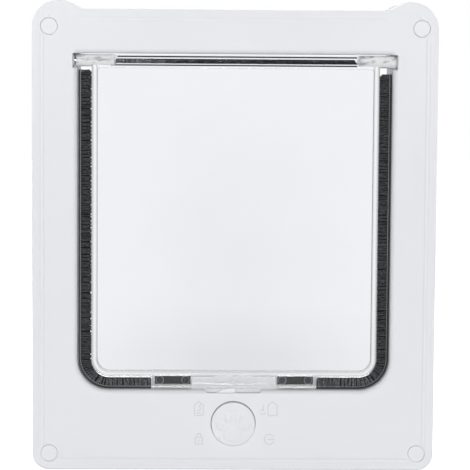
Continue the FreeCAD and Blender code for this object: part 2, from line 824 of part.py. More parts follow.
def brush_seal(side, top_z):
    """A brush seal: a backing strip on the passage wall, with pile in tufts towards the flap."""
    wall_half = passage_width / 2 - brush_wall_gap
    wall_low = sill_z + brush_wall_gap
    radius = passage_lower_radius - brush_wall_gap
    tip_half = flap_half + brush_flap_gap
    tip_low = flap_bottom_z - brush_flap_gap
    tip_radius = flap_corner_radius + brush_flap_gap
    run = (top_z - tip_low - tip_radius) + tip_radius * math.pi / 2 + (tip_half - tip_radius - brush_inner_end)
    tufts = int(round(run / tuft_pitch))
    tips = brush_path(tip_half, tip_low, tip_radius, top_z, brush_inner_end, 2 * tufts)
    teeth = []
    for i, (x, z, nx, nz) in enumerate(tips):
        depth = tuft_depth * (i % 2)
        teeth.append(V(side * (x + nx * depth) + flap_rest_shift, 0, z + nz * depth))
    end_x = side * brush_inner_end + flap_rest_shift
    outer_corner_x = wall_half - radius
    outer_corner_z = wall_low + radius
    y0 = flap_y - brush_pile_depth / 2
    start = 180 if side < 0 else 0
    end = 270 if side < 0 else -90
    wall_edges = [
        line(side * wall_half, top_z, side * wall_half, outer_corner_z, y0),
        arc(side * outer_corner_x, outer_corner_z, radius, start, end, y0),
        line(side * outer_corner_x, wall_low, end_x, wall_low, y0),
    ]
    teeth = [V(p.x, y0, p.z) for p in teeth]
    inner = Part.makePolygon([V(end_x, y0, wall_low)] + teeth[::-1]
                             + [V(side * wall_half, y0, top_z)])
    pile = prism(Part.Wire(Part.__sortEdges__(wall_edges + inner.Edges)), flap_y + brush_pile_depth / 2)
    b0 = flap_y - brush_backing_depth / 2
    strip = []
    for shrink in (0.0, brush_backing):
        half, low, r = wall_half - shrink, wall_low + shrink, radius - shrink
        strip.append([
            line(side * half, top_z, side * half, low + r, b0),
            arc(side * (half - r), low + r, r, start, end, b0),
            line(side * (half - r), low, end_x, low, b0),
        ])
    ends = [
        line(side * wall_half, top_z, side * (wall_half - brush_backing), top_z, b0),
        line(end_x, wall_low, end_x, wall_low + brush_backing, b0),
    ]
    backing_wire = Part.Wire(Part.__sortEdges__(strip[0] + strip[1] + ends))
    backing = prism(backing_wire, flap_y + brush_backing_depth / 2)
    return backing.fuse(pile).removeSplitter()


def clock(radius, angle, y):
    """A point on the lock at a clockwise angle from the top, as seen from the room."""
    turn = math.radians(angle)
    return V(radius * math.sin(turn), y, lock_z + radius * math.cos(turn))


def cam(sectors, y0):
    """A cam plate: arcs of stated radius between clockwise angles, joined by radial steps."""
    edges = []
    for i, (start, end, radius) in enumerate(sectors):
        middle = (start + end) / 2
        edges.append(Part.Arc(
            clock(radius, start, y0), clock(radius, middle, y0), clock(radius, end, y0)
        ).toShape())
        next_radius = sectors[(i + 1) % len(sectors)][2]
        if abs(next_radius - radius) > 0.001:
            edges.append(Part.LineSegment(clock(radius, end, y0), clock(next_radius, end, y0)).toShape())
    plate = prism(Part.Wire(edges), y0 + cam_thickness)
    return plate.cut(spindle_section(slide_fit / 2, y0 - 1, y0 + cam_thickness + 1))


def spindle_section(grow, y0, y1):
    """The spindle's D-shaped section between two planes."""
    radius = spindle_radius + grow
    flat = box(
        spindle_flat + grow, 2 * radius, y0, y1, lock_z - radius, lock_z + radius,
    )
    return rod_y(0, lock_z, radius, y0, y1).cut(flat)


def lock_cam_front():
    """The cam on the room side: while a high sector is up, the flap can't swing into the room."""
    step = cam_step_angle
    return cam([
        (step, 45, cam_cut_radius), (45, 135, cam_block_radius), (135, 225, cam_block_radius),
        (225, 290, cam_free_radius), (290, 360 + step, cam_free_radius),
    ], cam_front_y)


def lock_cam_rear():
    """The cam on the outer side: while a lobe is up, the flap can't swing outwards."""
    return cam([
        (-45, 45, cam_cut_radius), (45, 135, cam_block_radius),
        (135, 225, cam_cut_radius), (225, 315, cam_block_radius),
    ], cam_rear_y)


def paw_relief(y0, y1):
    """A plain raised paw print: a main pad like an arch, and four toe pads."""
    outline = []
    for points in paw_pad_arcs:
        outline.append(Part.Arc(*[V(x * knob_radius, y0, z * knob_radius) for x, z in points]).toShape())
    pads = [prism(Part.Wire(outline), y1)]
    for x, z, lean in paw_toes:
        ellipse = Part.Ellipse(V(0, 0, 0), paw_toe_half_length * knob_radius, paw_toe_half_width * knob_radius)
        toe = Part.Wire([ellipse.toShape()])
        toe.rotate(V(0, 0, 0), V(1, 0, 0), 90)
        toe.rotate(V(0, 0, 0), V(0, 1, 0), -90 - lean)
        toe.translate(V(x * knob_radius, y0, z * knob_radius))
        pads.append(prism(toe, y1))
    for p in pads:
        p.translate(V(0, 0, lock_z))
    return pads


def lock_knob():
    """The knob and its spindle, one moulding: a disc with a raised paw and a pointer notch."""
    back_y = room_face_y + knob_recess - knob_seat_gap
    front_y = back_y - knob_thickness
    disc = rod_y(0, lock_z, knob_radius, front_y, back_y)
    disc = disc.makeFillet(knob_edge_radius, edges_in_plane(disc, front_y))
    hub = rod_y(0, lock_z, hub_radius, back_y, cam_front_y)
    spindle = spindle_section(0, cam_front_y, washer_y)
    tip = clock(knob_radius - pointer_reach, pointer_angle, front_y - 1)
    notch = Part.makePolygon([
        tip, clock(knob_radius + 1, pointer_angle - pointer_half_angle, front_y - 1),
        clock(knob_radius + 1, pointer_angle + pointer_half_angle, front_y - 1), tip,
    ])
    pilot = rod_y(0, lock_z, lock_screw_radius + slide_fit / 2, washer_y - lock_screw_length - 1, washer_y + 1)
    knob = disc.fuse([hub, spindle] + paw_relief(front_y - knob_paw_height, front_y + knob_thickness / 4))
    return knob.cut([prism(notch, front_y + knob_thickness / 2), pilot]).removeSplitter()


def lock_spacer():
    """A spacer between the cams with a detent disc, notched at every quarter turn."""
    y0 = cam_front_y + cam_thickness
    tube = rod_y(0, lock_z, spacer_radius, y0, cam_rear_y)
    disc = rod_y(0, lock_z, detent_radius, detent_y, detent_y + detent_width)
    notches = []
    for angle in (0, 90, 180, 270):
        p = clock(detent_radius - detent_notch_depth + detent_notch_radius, angle, 0)
        notches.append(rod_y(p.x, p.z, detent_notch_radius, detent_y - 1, detent_y + detent_width + 1))
    return tube.fuse(disc.cut(notches)).cut(spindle_section(slide_fit / 2, y0 - 1, cam_rear_y + 1))


def lock_washer():
    ring = rod_y(0, lock_z, washer_radius, washer_y, washer_y + washer_thickness)
    return ring.cut(rod_y(0, lock_z, lock_screw_radius + slide_fit, washer_y - 1, washer_y + 2))


def lock_screw():
    """The screw that holds the cams on the spindle."""
    seat_y = washer_y + washer_thickness
    head = rod_y(0, lock_z, lock_screw_head_radius, seat_y, seat_y + lock_screw_head_height)
    shank = rod_y(0, lock_z, lock_screw_radius, washer_y - lock_screw_length, seat_y)
    slot = box(
        -lock_screw_head_radius, lock_screw_head_radius, seat_y + lock_screw_head_height / 2,
        seat_y + 3, lock_z - lock_screw_slot_width / 2, lock_z + lock_screw_slot_width / 2,
    )
    return head.fuse(shank).cut(slot)


def lock_cover():
    """A flat cover that closes the lock housing behind the cams."""
    z0 = frame_bottom_z + cover_rise + skirt_wall
    z1 = sill_z - tunnel_wall - cover_drop
    plate = prism(rounded_rectangle(
        cover_half_width, z0, z1, cover_corner_radius, cover_corner_radius, cover_front_y
    ), cover_back_y)
    holes = [rod_y(0, lock_z, cover_hole_radius, cover_front_y - 1, cover_back_y + 1)]
    for side in (-1, 1):
        holes.append(rod_y(
            side * cover_screw_spread, lock_z, cover_screw_radius + slide_fit,
            cover_front_y - 1, cover_back_y + 1,
        ))
    return plate.cut(holes)


def cover_screw(side):
    x = side * cover_screw_spread
    head = rod_y(x, lock_z, cover_screw_head_radius, cover_back_y, cover_back_y + cover_screw_head_height)
    shank = rod_y(x, lock_z, cover_screw_radius, cover_front_y - cover_screw_length + 1, cover_back_y)
    slot = box(
        x - 3, x + 3, cover_back_y + cover_screw_head_height / 2, cover_back_y + 2,
        lock_z - cover_screw_slot_width / 2, lock_z + cover_screw_slot_width / 2,
    )
    return head.fuse(shank).cut(slot)


def detent_spring():
    """A leaf spring held in two posts, with a nose that drops into the detent disc's notches."""
    top = spring_level()
    half = post_start() + post_width - post_end_wall - spring_end_gap
    leaf = box(
        -half, half, flap_y - spring_width / 2, flap_y + spring_width / 2, top - spring_thickness, top,
    )
    rise = spring_nose_radius - spring_nose_height
    nose = rod_y(0, top - rise, spring_nose_radius, flap_y - spring_width / 2, flap_y + spring_width / 2)
    keep = box(
        -half, half, flap_y - spring_width, flap_y + spring_width, top - spring_thickness / 2, top + 5,
    )
    return leaf.fuse(nose.common(keep)).removeSplitter()


def build():
    """Every piece of the cat flap, by node name."""
    pieces = {
        "room_side_frame": room_side_frame(),
        "outer_side_frame": outer_side_frame(),
        "flap_pane": flap_pane(),
        "flap_top_seal": flap_top_seal(),
        "lock_knob": lock_knob(),
        "lock_cam_front": lock_cam_front(),
        "lock_cam_rear": lock_cam_rear(),
        "lock_spacer": lock_spacer(),
        "lock_washer": lock_washer(),
        "lock_screw": lock_screw(),
        "lock_cover": lock_cover(),
        "detent_spring": detent_spring(),
    }
    for name, side in sides.items():
        top_z = lintel_z - brush_top_drop - (brush_right_cut if side > 0 else 0)
        pieces[f"brush_seal_{name}"] = brush_seal(side, top_z)
        pieces[f"hinge_pin_{name}"] = hinge_pin(side)
        pieces[f"hinge_bush_{name}"] = hinge_bush(side)
        pieces[f"keeper_plate_{name}"] = keeper_plate(side)
        pieces[f"magnet_holder_{name}"] = magnet_holder(side)
        pieces[f"cover_screw_{name}"] = cover_screw(side)
        for i, (x, z) in enumerate(magnet_places(side)):
            place = "inner" if i == 0 else "outer"
            pieces[f"flap_magnet_{name}_{place}"] = flap_magnet(x, z)
    for name, (x, z) in screw_places.items():
        pieces[f"frame_screw_{name}"] = screw(x, z)
        pieces[f"screw_cap_{name}"] = screw_cap(x, z)
        pieces[f"threaded_sleeve_{name}"] = threaded_sleeve(x, z)
    for name, shape in pieces.items():
        if name.startswith(("flap_", "hinge_pin_", "magnet_holder_")):
            shape.translate(V(flap_rest_shift, 0, 0))
    return pieces


os.makedirs("parts", exist_ok=True)
for node, shape in build().items():
    solids = len(shape.Solids)
    print(f"{node}: {solids} solid, {shape.Volume:.1f} mm3, valid {shape.isValid()}")
    shape.exportStep(f"parts/{node}.step")
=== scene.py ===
import bpy
import bmesh
import json
import math
import numpy as np
from mathutils import Matrix, Vector

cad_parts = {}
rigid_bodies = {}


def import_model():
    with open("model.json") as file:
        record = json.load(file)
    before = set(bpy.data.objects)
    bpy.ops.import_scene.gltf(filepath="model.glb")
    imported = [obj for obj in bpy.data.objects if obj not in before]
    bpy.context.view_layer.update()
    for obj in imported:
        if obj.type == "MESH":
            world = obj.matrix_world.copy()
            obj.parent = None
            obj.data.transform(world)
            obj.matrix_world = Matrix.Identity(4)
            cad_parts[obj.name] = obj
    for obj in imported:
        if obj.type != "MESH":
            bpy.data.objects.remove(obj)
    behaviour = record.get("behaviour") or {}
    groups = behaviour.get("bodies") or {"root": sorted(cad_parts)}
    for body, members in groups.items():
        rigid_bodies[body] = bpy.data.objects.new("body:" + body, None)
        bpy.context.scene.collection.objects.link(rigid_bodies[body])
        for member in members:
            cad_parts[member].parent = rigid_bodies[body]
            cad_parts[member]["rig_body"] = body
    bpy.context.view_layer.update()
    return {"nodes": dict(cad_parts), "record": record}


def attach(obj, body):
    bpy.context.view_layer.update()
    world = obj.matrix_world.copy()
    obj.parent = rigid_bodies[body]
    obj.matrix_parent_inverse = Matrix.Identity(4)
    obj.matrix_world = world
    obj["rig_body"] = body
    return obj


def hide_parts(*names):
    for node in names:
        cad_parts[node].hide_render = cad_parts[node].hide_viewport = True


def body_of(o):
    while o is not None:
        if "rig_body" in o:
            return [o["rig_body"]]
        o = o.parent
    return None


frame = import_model()
nodes = frame["nodes"]
mm = 0.001
slotOf = {part["node"]: part["material_slot"] for part in frame["record"]["subparts"]}
print("frame loaded:", len(nodes), "nodes")

# Levels and planes of the part in millimetres, as its source has them
place = {
    "roomFaceY": -17.0, "flapY": -8.2, "hingeZ": 100.7, "lockZ": -125.9, "bottomZ": -155.7,
    "sillZ": -105.1, "passageHalf": 97.8, "flapHalf": 89.8, "flapBottomZ": -97.7, "flapShift": 0.45,
    "screwX": 115.4, "screwLowZ": -145.1, "screwHighZ": 121.5,
}
screwPlaces = {
    "lower_left": (-place["screwX"], place["screwLowZ"]), "lower_right": (place["screwX"], place["screwLowZ"]),
    "upper_left": (-place["screwX"], place["screwHighZ"]), "upper_right": (place["screwX"], place["screwHighZ"]),
}

# Mesh helpers
def finishPiece(name, mesh, body, material, smoothAngle=35):
    # smooth shading except across edges sharper than smoothAngle, then onto its body
    mesh.polygons.foreach_set("use_smooth", np.ones(len(mesh.polygons), bool))
    mesh.set_sharp_from_angle(angle=math.radians(smoothAngle))
    mesh.materials.clear()
    mesh.materials.append(material)
    piece = bpy.data.objects.new(name, mesh)
    bpy.context.scene.collection.objects.link(piece)
    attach(piece, body)
    return piece


def tubeFaces(rows, columns, capped=True):
    # quads between neighbouring rings of a tube, point number = row * columns + column, and a face over each end
    r, c = np.meshgrid(np.arange(rows - 1), np.arange(columns), indexing="ij")
    c2 = (c + 1) % columns
    corners = np.stack([r * columns + c, r * columns + c2, (r + 1) * columns + c2, (r + 1) * columns + c], -1)
    faces = corners.reshape(-1, 4).tolist()
    if capped:
        faces += [list(range(columns)), list(range(rows * columns - 1, (rows - 1) * columns - 1, -1))]
    return faces


def meshOf(name, points, faces):
    # points in millimetres, faces as rows of point numbers
    mesh = bpy.data.meshes.new(name)
    points = np.asarray(points, float).reshape(-1, 3) * mm
    mesh.from_pydata(points.tolist(), [], [list(map(int, f)) for f in faces])
    mesh.validate()
    return mesh


def cleaned(mesh, merge=0.002):
    # points closer than merge millimetres joined, slivers dissolved and normals made outward
    work = bmesh.new()
    work.from_mesh(mesh)
    bmesh.ops.remove_doubles(work, verts=work.verts, dist=merge * mm)
    bmesh.ops.dissolve_degenerate(work, edges=work.edges, dist=1e-7)
    bmesh.ops.recalc_face_normals(work, faces=work.faces)
    work.to_mesh(mesh)
    work.free()
    return mesh


def lathe(profile, x, z, steps, squeeze=None, capped=True):
    # each profile point (radius, y) carried round the Y axis through (x, z); squeeze may move it at each turn
    profile = np.asarray(profile, float)
    turn = np.linspace(0, 2 * math.pi, steps, endpoint=False)
    radius = profile[:, 0, None] * np.ones(steps)
    y = profile[:, 1, None] * np.ones(steps)
    if squeeze is not None:
        radius, y = squeeze(radius, y, turn[None, :] * np.ones_like(radius))
    points = np.stack([x + radius * np.cos(turn), y, z + radius * np.sin(turn)], -1)
    return points.reshape(-1, 3), tubeFaces(len(profile), steps, capped)


def joined(pieces):
    # several (points, faces) as one
    allPoints, allFaces, count = [], [], 0
    for points, faces in pieces:
        allPoints.append(points)
        allFaces += [[int(i) + count for i in f] for f in faces]
        count += len(points)
    return np.concatenate(allPoints), allFaces


def weldedCopy(node, material, smoothAngle=32, soften=0.0, merge=False):
    # the CAD node's triangles with shared corners merged, shaded smooth over its rounds, standing for the node
    source = nodes[node]
    work = bmesh.new()
    work.from_mesh(source.data)
    bmesh.ops.remove_doubles(work, verts=work.verts, dist=2e-6)
    bmesh.ops.dissolve_degenerate(work, edges=work.edges, dist=1e-6)
    if soften or merge:
        bmesh.ops.dissolve_limit(work, angle_limit=math.radians(0.5), verts=work.verts, edges=work.edges)
    mesh = bpy.data.meshes.new(node + "_shown")
    work.to_mesh(mesh)
    work.free()
    mesh.materials.clear()
    mesh.polygons.foreach_set("material_index", np.zeros(len(mesh.polygons), np.int32))
    piece = finishPiece(node + "_shown", mesh, body_of(source)[0], material, smoothAngle)
    if soften:
        edge = piece.modifiers.new("soft edges", "BEVEL")
        edge.width, edge.segments, edge.limit_method = soften * mm, 2, "ANGLE"
        edge.angle_limit = math.radians(smoothAngle)
    flat = piece.modifiers.new("flat faces stay flat", "WEIGHTED_NORMAL")
    flat.keep_sharp, flat.weight = True, 90
    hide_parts(node)
    return piece

# Materials
def newMaterial(name):
    material = bpy.data.materials.new(name)
    material.use_nodes = True
    tree = material.node_tree
    tree.nodes.clear()
    out = tree.nodes.new("ShaderNodeOutputMaterial")
    shader = tree.nodes.new("ShaderNodeBsdfPrincipled")
    tree.links.new(shader.outputs["BSDF"], out.inputs["Surface"])
    return material, tree, shader


def noiseOf(tree, scale, detail=2.0, stretch=(1, 1, 1)):
    # noise on object coordinates, scale in features per metre
    where = tree.nodes.new("ShaderNodeTexCoord")
    mapping = tree.nodes.new("ShaderNodeMapping")
    mapping.inputs["Scale"].default_value = stretch
    noise = tree.nodes.new("ShaderNodeTexNoise")
    noise.inputs["Scale"].default_value = scale
    noise.inputs["Detail"].default_value = detail
    tree.links.new(where.outputs["Object"], mapping.inputs["Vector"])
    tree.links.new(mapping.outputs["Vector"], noise.inputs["Vector"])
    return noise.outputs["Fac"]


def rangeOf(tree, source, low, high, fromLow=0.3, fromHigh=0.7):
    node = tree.nodes.new("ShaderNodeMapRange")
    node.inputs["From Min"].default_value, node.inputs["From Max"].default_value = fromLow, fromHigh
    node.inputs["To Min"].default_value, node.inputs["To Max"].default_value = low, high
    tree.links.new(source, node.inputs["Value"])
    return node.outputs["Result"]


def mixOf(tree, factor, a, b):
    # a and b are colours or sockets
    node = tree.nodes.new("ShaderNodeMix")
    node.data_type = "RGBA"
    tree.links.new(factor, node.inputs[0])
    for i, value in ((6, a), (7, b)):
        if isinstance(value, tuple):
            node.inputs[i].default_value = (*value, 1)
        else:
            tree.links.new(value, node.inputs[i])
    return node.outputs[2]


def mathNode(tree, operation, a, b=None):
    # a and b are numbers or sockets
    node = tree.nodes.new("ShaderNodeMath")
    node.operation = operation
    for i, value in enumerate((a, b)):
        if isinstance(value, (int, float)):
            node.inputs[i].default_value = value
        elif value is not None:
            tree.links.new(value, node.inputs[i])
    return node.outputs[0]


def axisOf(tree, axis):
    # one of the object's own coordinates, in metres
    where = tree.nodes.new("ShaderNodeTexCoord")
    split = tree.nodes.new("ShaderNodeSeparateXYZ")
    tree.links.new(where.outputs["Object"], split.inputs[0])
    return split.outputs[axis]


def scaled(colour, gain):
    return tuple(gain * c for c in colour)


def bumpOf(tree, height, strength, distance):
    node = tree.nodes.new("ShaderNodeBump")
    node.inputs["Strength"].default_value = strength
    node.inputs["Distance"].default_value = distance
    tree.links.new(height, node.inputs["Height"])
    return node.outputs["Normal"]


def mouldedPlastic(name, colour, shade, roughness, gloss=0.5):
    # a slow drift of colour, a fine spark-eroded grain and a roughness that wanders a little
    material, tree, shader = newMaterial(name)
    drift, grain = noiseOf(tree, 14, 3), noiseOf(tree, 2600, 2)
    base = mixOf(tree, rangeOf(tree, drift, 0, 1), scaled(colour, shade), colour)
    tree.links.new(base, shader.inputs["Base Color"])
    tree.links.new(rangeOf(tree, drift, roughness - 0.04, roughness + 0.05), shader.inputs["Roughness"])
    tree.links.new(bumpOf(tree, grain, 0.6, 0.000012), shader.inputs["Normal"])
    shader.inputs["IOR"].default_value = 1.5
    shader.inputs["Specular IOR Level"].default_value = gloss
    return material


def metal(name, colour, roughness, streak):
    # fine scratches drawn out along one direction
    material, tree, shader = newMaterial(name)
    scratch = noiseOf(tree, 900, 3, streak)
    base = mixOf(tree, rangeOf(tree, scratch, 0, 1), scaled(colour, 0.82), colour)
    tree.links.new(base, shader.inputs["Base Color"])
    tree.links.new(rangeOf(tree, scratch, roughness, roughness + 0.14), shader.inputs["Roughness"])
    tree.links.new(bumpOf(tree, scratch, 0.3, 0.00001), shader.inputs["Normal"])
    shader.inputs["Metallic"].default_value = 1.0
    return material


def clearPlastic(name, colour, roughness, clearness, waviness, tint=None):
    # clearness 1 is polished and see-through; less lets the moulding's edges glow white; a tint stands for the colour
    material, tree, shader = newMaterial(name)
    haze, wave = noiseOf(tree, 40, 2), noiseOf(tree, 55, 2)
    base = tint(tree) if tint else mixOf(tree, rangeOf(tree, haze, 0, 1), scaled(colour, 0.985), colour)
    tree.links.new(base, shader.inputs["Base Color"])
    tree.links.new(rangeOf(tree, haze, roughness, roughness + 0.02), shader.inputs["Roughness"])
    tree.links.new(bumpOf(tree, wave, waviness, 0.0001), shader.inputs["Normal"])
    shader.inputs["Transmission Weight"].default_value = clearness
    shader.inputs["IOR"].default_value = 1.49
    return material


# Painted refraction: grey bands along the flap's outline, each level at so many millimetres inside it
paintedRimRefraction = {
    "low": place["flapBottomZ"] - 0.15, "high": 150.0, "corner": 11.5,
    "levels": (
        (0.0, 0.6), (0.9, 0.66), (1.2, 0.9), (1.9, 0.99), (2.6, 0.99), (2.9, 0.78), (3.7, 0.78), (4.0, 0.99),
    ),
}


def paintedRefractionBands(tree):
    # painted refraction: the base colour is greyer where the moulding's edges would bend the dark pile into view; with
    # q the offsets beyond the corners' centres, depth inside the outline = corner - length(max(q, 0)) - min(max(qx,
    # qz), 0)
    low, high, corner = (paintedRimRefraction[key] * mm for key in ("low", "high", "corner"))
    x = mathNode(tree, "SUBTRACT", axisOf(tree, "X"), place["flapShift"] * mm)
    z = mathNode(tree, "SUBTRACT", axisOf(tree, "Z"), (low + high) / 2)
    x = mathNode(tree, "SUBTRACT", mathNode(tree, "ABSOLUTE", x), place["flapHalf"] * mm - corner)
    z = mathNode(tree, "SUBTRACT", mathNode(tree, "ABSOLUTE", z), (high - low) / 2 - corner)
    squares = []
    for q in (x, z):
        over = mathNode(tree, "MAXIMUM", q, 0.0)
        squares.append(mathNode(tree, "MULTIPLY", over, over))
    outside = mathNode(tree, "SQRT", mathNode(tree, "ADD", *squares))
    inside = mathNode(tree, "MINIMUM", mathNode(tree, "MAXIMUM", x, z), 0.0)
    depth = mathNode(tree, "SUBTRACT", corner, mathNode(tree, "ADD", outside, inside))
    ramp = tree.nodes.new("ShaderNodeValToRGB")
    stops = ramp.color_ramp.elements
    reach = paintedRimRefraction["levels"][-1][0]
    for i, (at, level) in enumerate(paintedRimRefraction["levels"]):
        stop = stops.new(at / reach) if i else stops[0]
        stop.position, stop.color = at / reach, (level, level, level, 1)
    stops.remove(stops[-1])
    tree.links.new(mathNode(tree, "DIVIDE", depth, reach * mm), ramp.inputs[0])
    return ramp.outputs[0]


def barrelPlastic(name, colour, pocketShade, middle, clearFrom, endFrom):
    # clear along the middle, milky beyond clearFrom to endFrom metres either way along X, with painted grey patches
    # there that stand in for the pivot ends and pockets seen through; it bends light little, so the strip inside reads
    # straight, and its coat gives the gloss
    material, tree, shader = newMaterial(name)
    far = mathNode(tree, "ABSOLUTE", mathNode(tree, "SUBTRACT", axisOf(tree, "X"), middle))
    patches = rangeOf(tree, noiseOf(tree, 230, 4, (0.6, 1, 1.8)), 1, 0, 0.34, 0.5)
    pocketShadeMask = mathNode(tree, "MULTIPLY", patches, rangeOf(tree, far, 0, 1, clearFrom, endFrom))
    tree.links.new(mixOf(tree, pocketShadeMask, colour, pocketShade), shader.inputs["Base Color"])
    tree.links.new(rangeOf(tree, far, 1.0, 0.25, clearFrom, endFrom), shader.inputs["Transmission Weight"])
    tree.links.new(rangeOf(tree, far, 0.0, 0.3, clearFrom, endFrom), shader.inputs["Roughness"])
    shader.inputs["IOR"].default_value = 1.03
    shader.inputs["Coat Weight"].default_value = 0.06
    shader.inputs["Coat Roughness"].default_value = 0.3
    return material


def pileFibre(name, dark, light, roughness):
    # fibres: dark and lighter tufts about a millimetre apart, a painted lit copy lighter along the sill where light
    # from above falls on the strands, and a soft sheen
    material, tree, shader = newMaterial(name)
    tuft = rangeOf(tree, noiseOf(tree, 700, 2), 0.15, 1.0, 0.35, 0.65)
    strand = rangeOf(tree, noiseOf(tree, 5200, 1), 0.3, 1.0, 0.35, 0.65)
    share = mathNode(tree, "MULTIPLY", tuft, strand)
    # the sill copy is 2.3 times lighter: painted light on the strands' upper sides
    side, sill = (mixOf(tree, share, scaled(dark, gain), scaled(light, gain)) for gain in (1.0, 2.3))
    sillLightMask = rangeOf(tree, axisOf(tree, "Z"), 0, 1, -0.092, -0.101)
    tree.links.new(mixOf(tree, sillLightMask, side, sill), shader.inputs["Base Color"])
    shader.inputs["Roughness"].default_value = roughness
    shader.inputs["Specular IOR Level"].default_value = 0.12
    shader.inputs["Sheen Weight"].default_value = 0.15
    shader.inputs["Sheen Roughness"].default_value = 0.4
    return material


def uprightPile(name, dark, light, pale, paleFrom, paleTo):
    # short upright fibres: fine streaks drawn out along Z, with a painted highlight that makes the fibres paler towards
    # the left end
    material, tree, shader = newMaterial(name)
    streak = rangeOf(tree, noiseOf(tree, 900, 2, (1, 1, 0.12)), 0, 1, 0.4, 0.62)
    # painted highlight: rises from 0.15 at the right to 1 towards the left end
    leftHighlight = rangeOf(tree, axisOf(tree, "X"), 0.15, 1, paleFrom, paleTo)
    base = mixOf(tree, mathNode(tree, "MULTIPLY", streak, leftHighlight), mixOf(tree, leftHighlight, dark, light), pale)
    tree.links.new(base, shader.inputs["Base Color"])
    shader.inputs["Roughness"].default_value = 0.7
    shader.inputs["Specular IOR Level"].default_value = 0.12
    return material


finish = {
    "frame": mouldedPlastic("framePlastic", (0.83, 0.837, 0.868), 0.985, 0.55),
    "cap": mouldedPlastic("capPlastic", (0.83, 0.837, 0.868), 0.985, 0.5),
    "sign": mouldedPlastic("signPlastic", (0.68, 0.688, 0.72), 0.97, 0.6),
    "knob": mouldedPlastic("knobPlastic", (0.825, 0.829, 0.85), 0.985, 0.45),
    # near-black finish for the knob's recess: painted shade of its narrow gap
    "recess": mouldedPlastic("recessPaintedShade", (0.08, 0.082, 0.088), 0.95, 0.7, 0.2),
    # lighter than the frame: painted light that brightens the shaded notch where the cams show
    "lock": mouldedPlastic("lockPlasticBrightened", (0.92, 0.923, 0.935), 0.98, 0.5),
    "pane": clearPlastic("clearPane", (0.985, 0.99, 0.995), 0.005, 1.0, 0.03),
    # the rim's base colour carries the painted refraction bands
    "rim": clearPlastic("clearRim", None, 0.015, 1.0, 0.05, paintedRefractionBands),
    "tab": clearPlastic("clearTab", (0.93, 0.935, 0.95), 0.03, 0.72, 0.05),
    # its grey is the painted shade of the pivot pockets seen through the barrel's ends
    "barrel": barrelPlastic("clearBarrel", (0.985, 0.99, 0.995), (0.42, 0.425, 0.435), 0.0012, 0.0752, 0.0770),
    "pile": pileFibre("brushPile", (0.022, 0.023, 0.025), (0.15, 0.154, 0.162), 0.6),
    # near-black strip inside the pile: painted shade that shows in the gaps between the tufts
    "shadeCore": pileFibre("brushShadeCore", (0.005, 0.005, 0.006), (0.012, 0.012, 0.014), 0.7),
    "bar": uprightPile(
        "sealPile", (0.008, 0.008, 0.009), (0.045, 0.046, 0.05), (0.15, 0.152, 0.16), -0.040, -0.056,
    ),
    "sealLip": mouldedPlastic("sealLip", (0.03, 0.031, 0.035), 0.6, 0.55, 0.15),
    "backing": mouldedPlastic("brushBacking", (0.04, 0.042, 0.047), 0.8, 0.6, 0.15),
    # paler grey beads on the backing's edge: a painted highlight where that edge catches light
    "lipHighlight": mouldedPlastic("brushLipHighlight", (0.3, 0.303, 0.315), 0.7, 0.55, 0.2),
    "holder": mouldedPlastic("holderPlastic", (0.016, 0.018, 0.023), 0.8, 0.6, 0.2),
    "magnet": metal("magnetNickel", (0.07, 0.075, 0.085), 0.5, (1, 1, 1)),
    # the magnet's ground edge, its paler grey partly a painted highlight of the chamfer
    "ring": mouldedPlastic("magnetEdgeAndHighlight", (0.42, 0.43, 0.46), 0.9, 0.5),
    "nylon": mouldedPlastic("bushNylon", (0.75, 0.75, 0.72), 0.97, 0.45),
    "steel": metal("zincSteel", (0.62, 0.63, 0.65), 0.26, (1, 0.1, 1)),
    "brass": metal("brass", (0.72, 0.54, 0.24), 0.24, (1, 0.1, 1)),
}
finishOfSlot = {
    "frame_plastic": "frame", "cap_plastic": "cap", "knob_plastic": "knob", "lock_plastic": "lock",
    "clear_flap": "rim", "brush_pile": "pile", "holder_plastic": "holder", "magnet": "magnet",
    "bush_nylon": "nylon", "steel": "steel", "brass": "brass",
}
print("materials made:", len(finish))

# Flap: the clear moulding, with finishes of their own for its polished window, rim, barrel and the tab
# between the magnets
flap = {
    "windowHalf": 86.2, "windowLowZ": -93.6, "windowHighZ": 96.2, "windowHalfDepth": 1.6, "barrelRadius": 3.86,
    "softEdge": 0.6, "tabHalf": 26.5, "tabTopZ": -97.0,
}


def makeFlap():
    piece = weldedCopy("flap_pane", finish["pane"], 30, flap["softEdge"])
    for name in ("rim", "barrel", "tab"):
        piece.data.materials.append(finish[name])
    middle = np.zeros(len(piece.data.polygons) * 3)
    piece.data.polygons.foreach_get("center", middle)
    x, y, z = middle.reshape(-1, 3).T / mm
    inWindow = (
        (np.abs(x - place["flapShift"]) < flap["windowHalf"]) & (z > flap["windowLowZ"])
        & (z < flap["windowHighZ"]) & (np.abs(y - place["flapY"]) < flap["windowHalfDepth"])
    )
    onBarrel = np.hypot(y - place["flapY"], z - place["hingeZ"]) < flap["barrelRadius"]
    onTab = (np.abs(x) < flap["tabHalf"]) & (z < flap["tabTopZ"])
    zone = np.where(inWindow, 0, np.where(onBarrel, 2, np.where(onTab, 3, 1)))
    piece.data.polygons.foreach_set("material_index", zone.astype(np.int32))


makeFlap()
print("flap made")

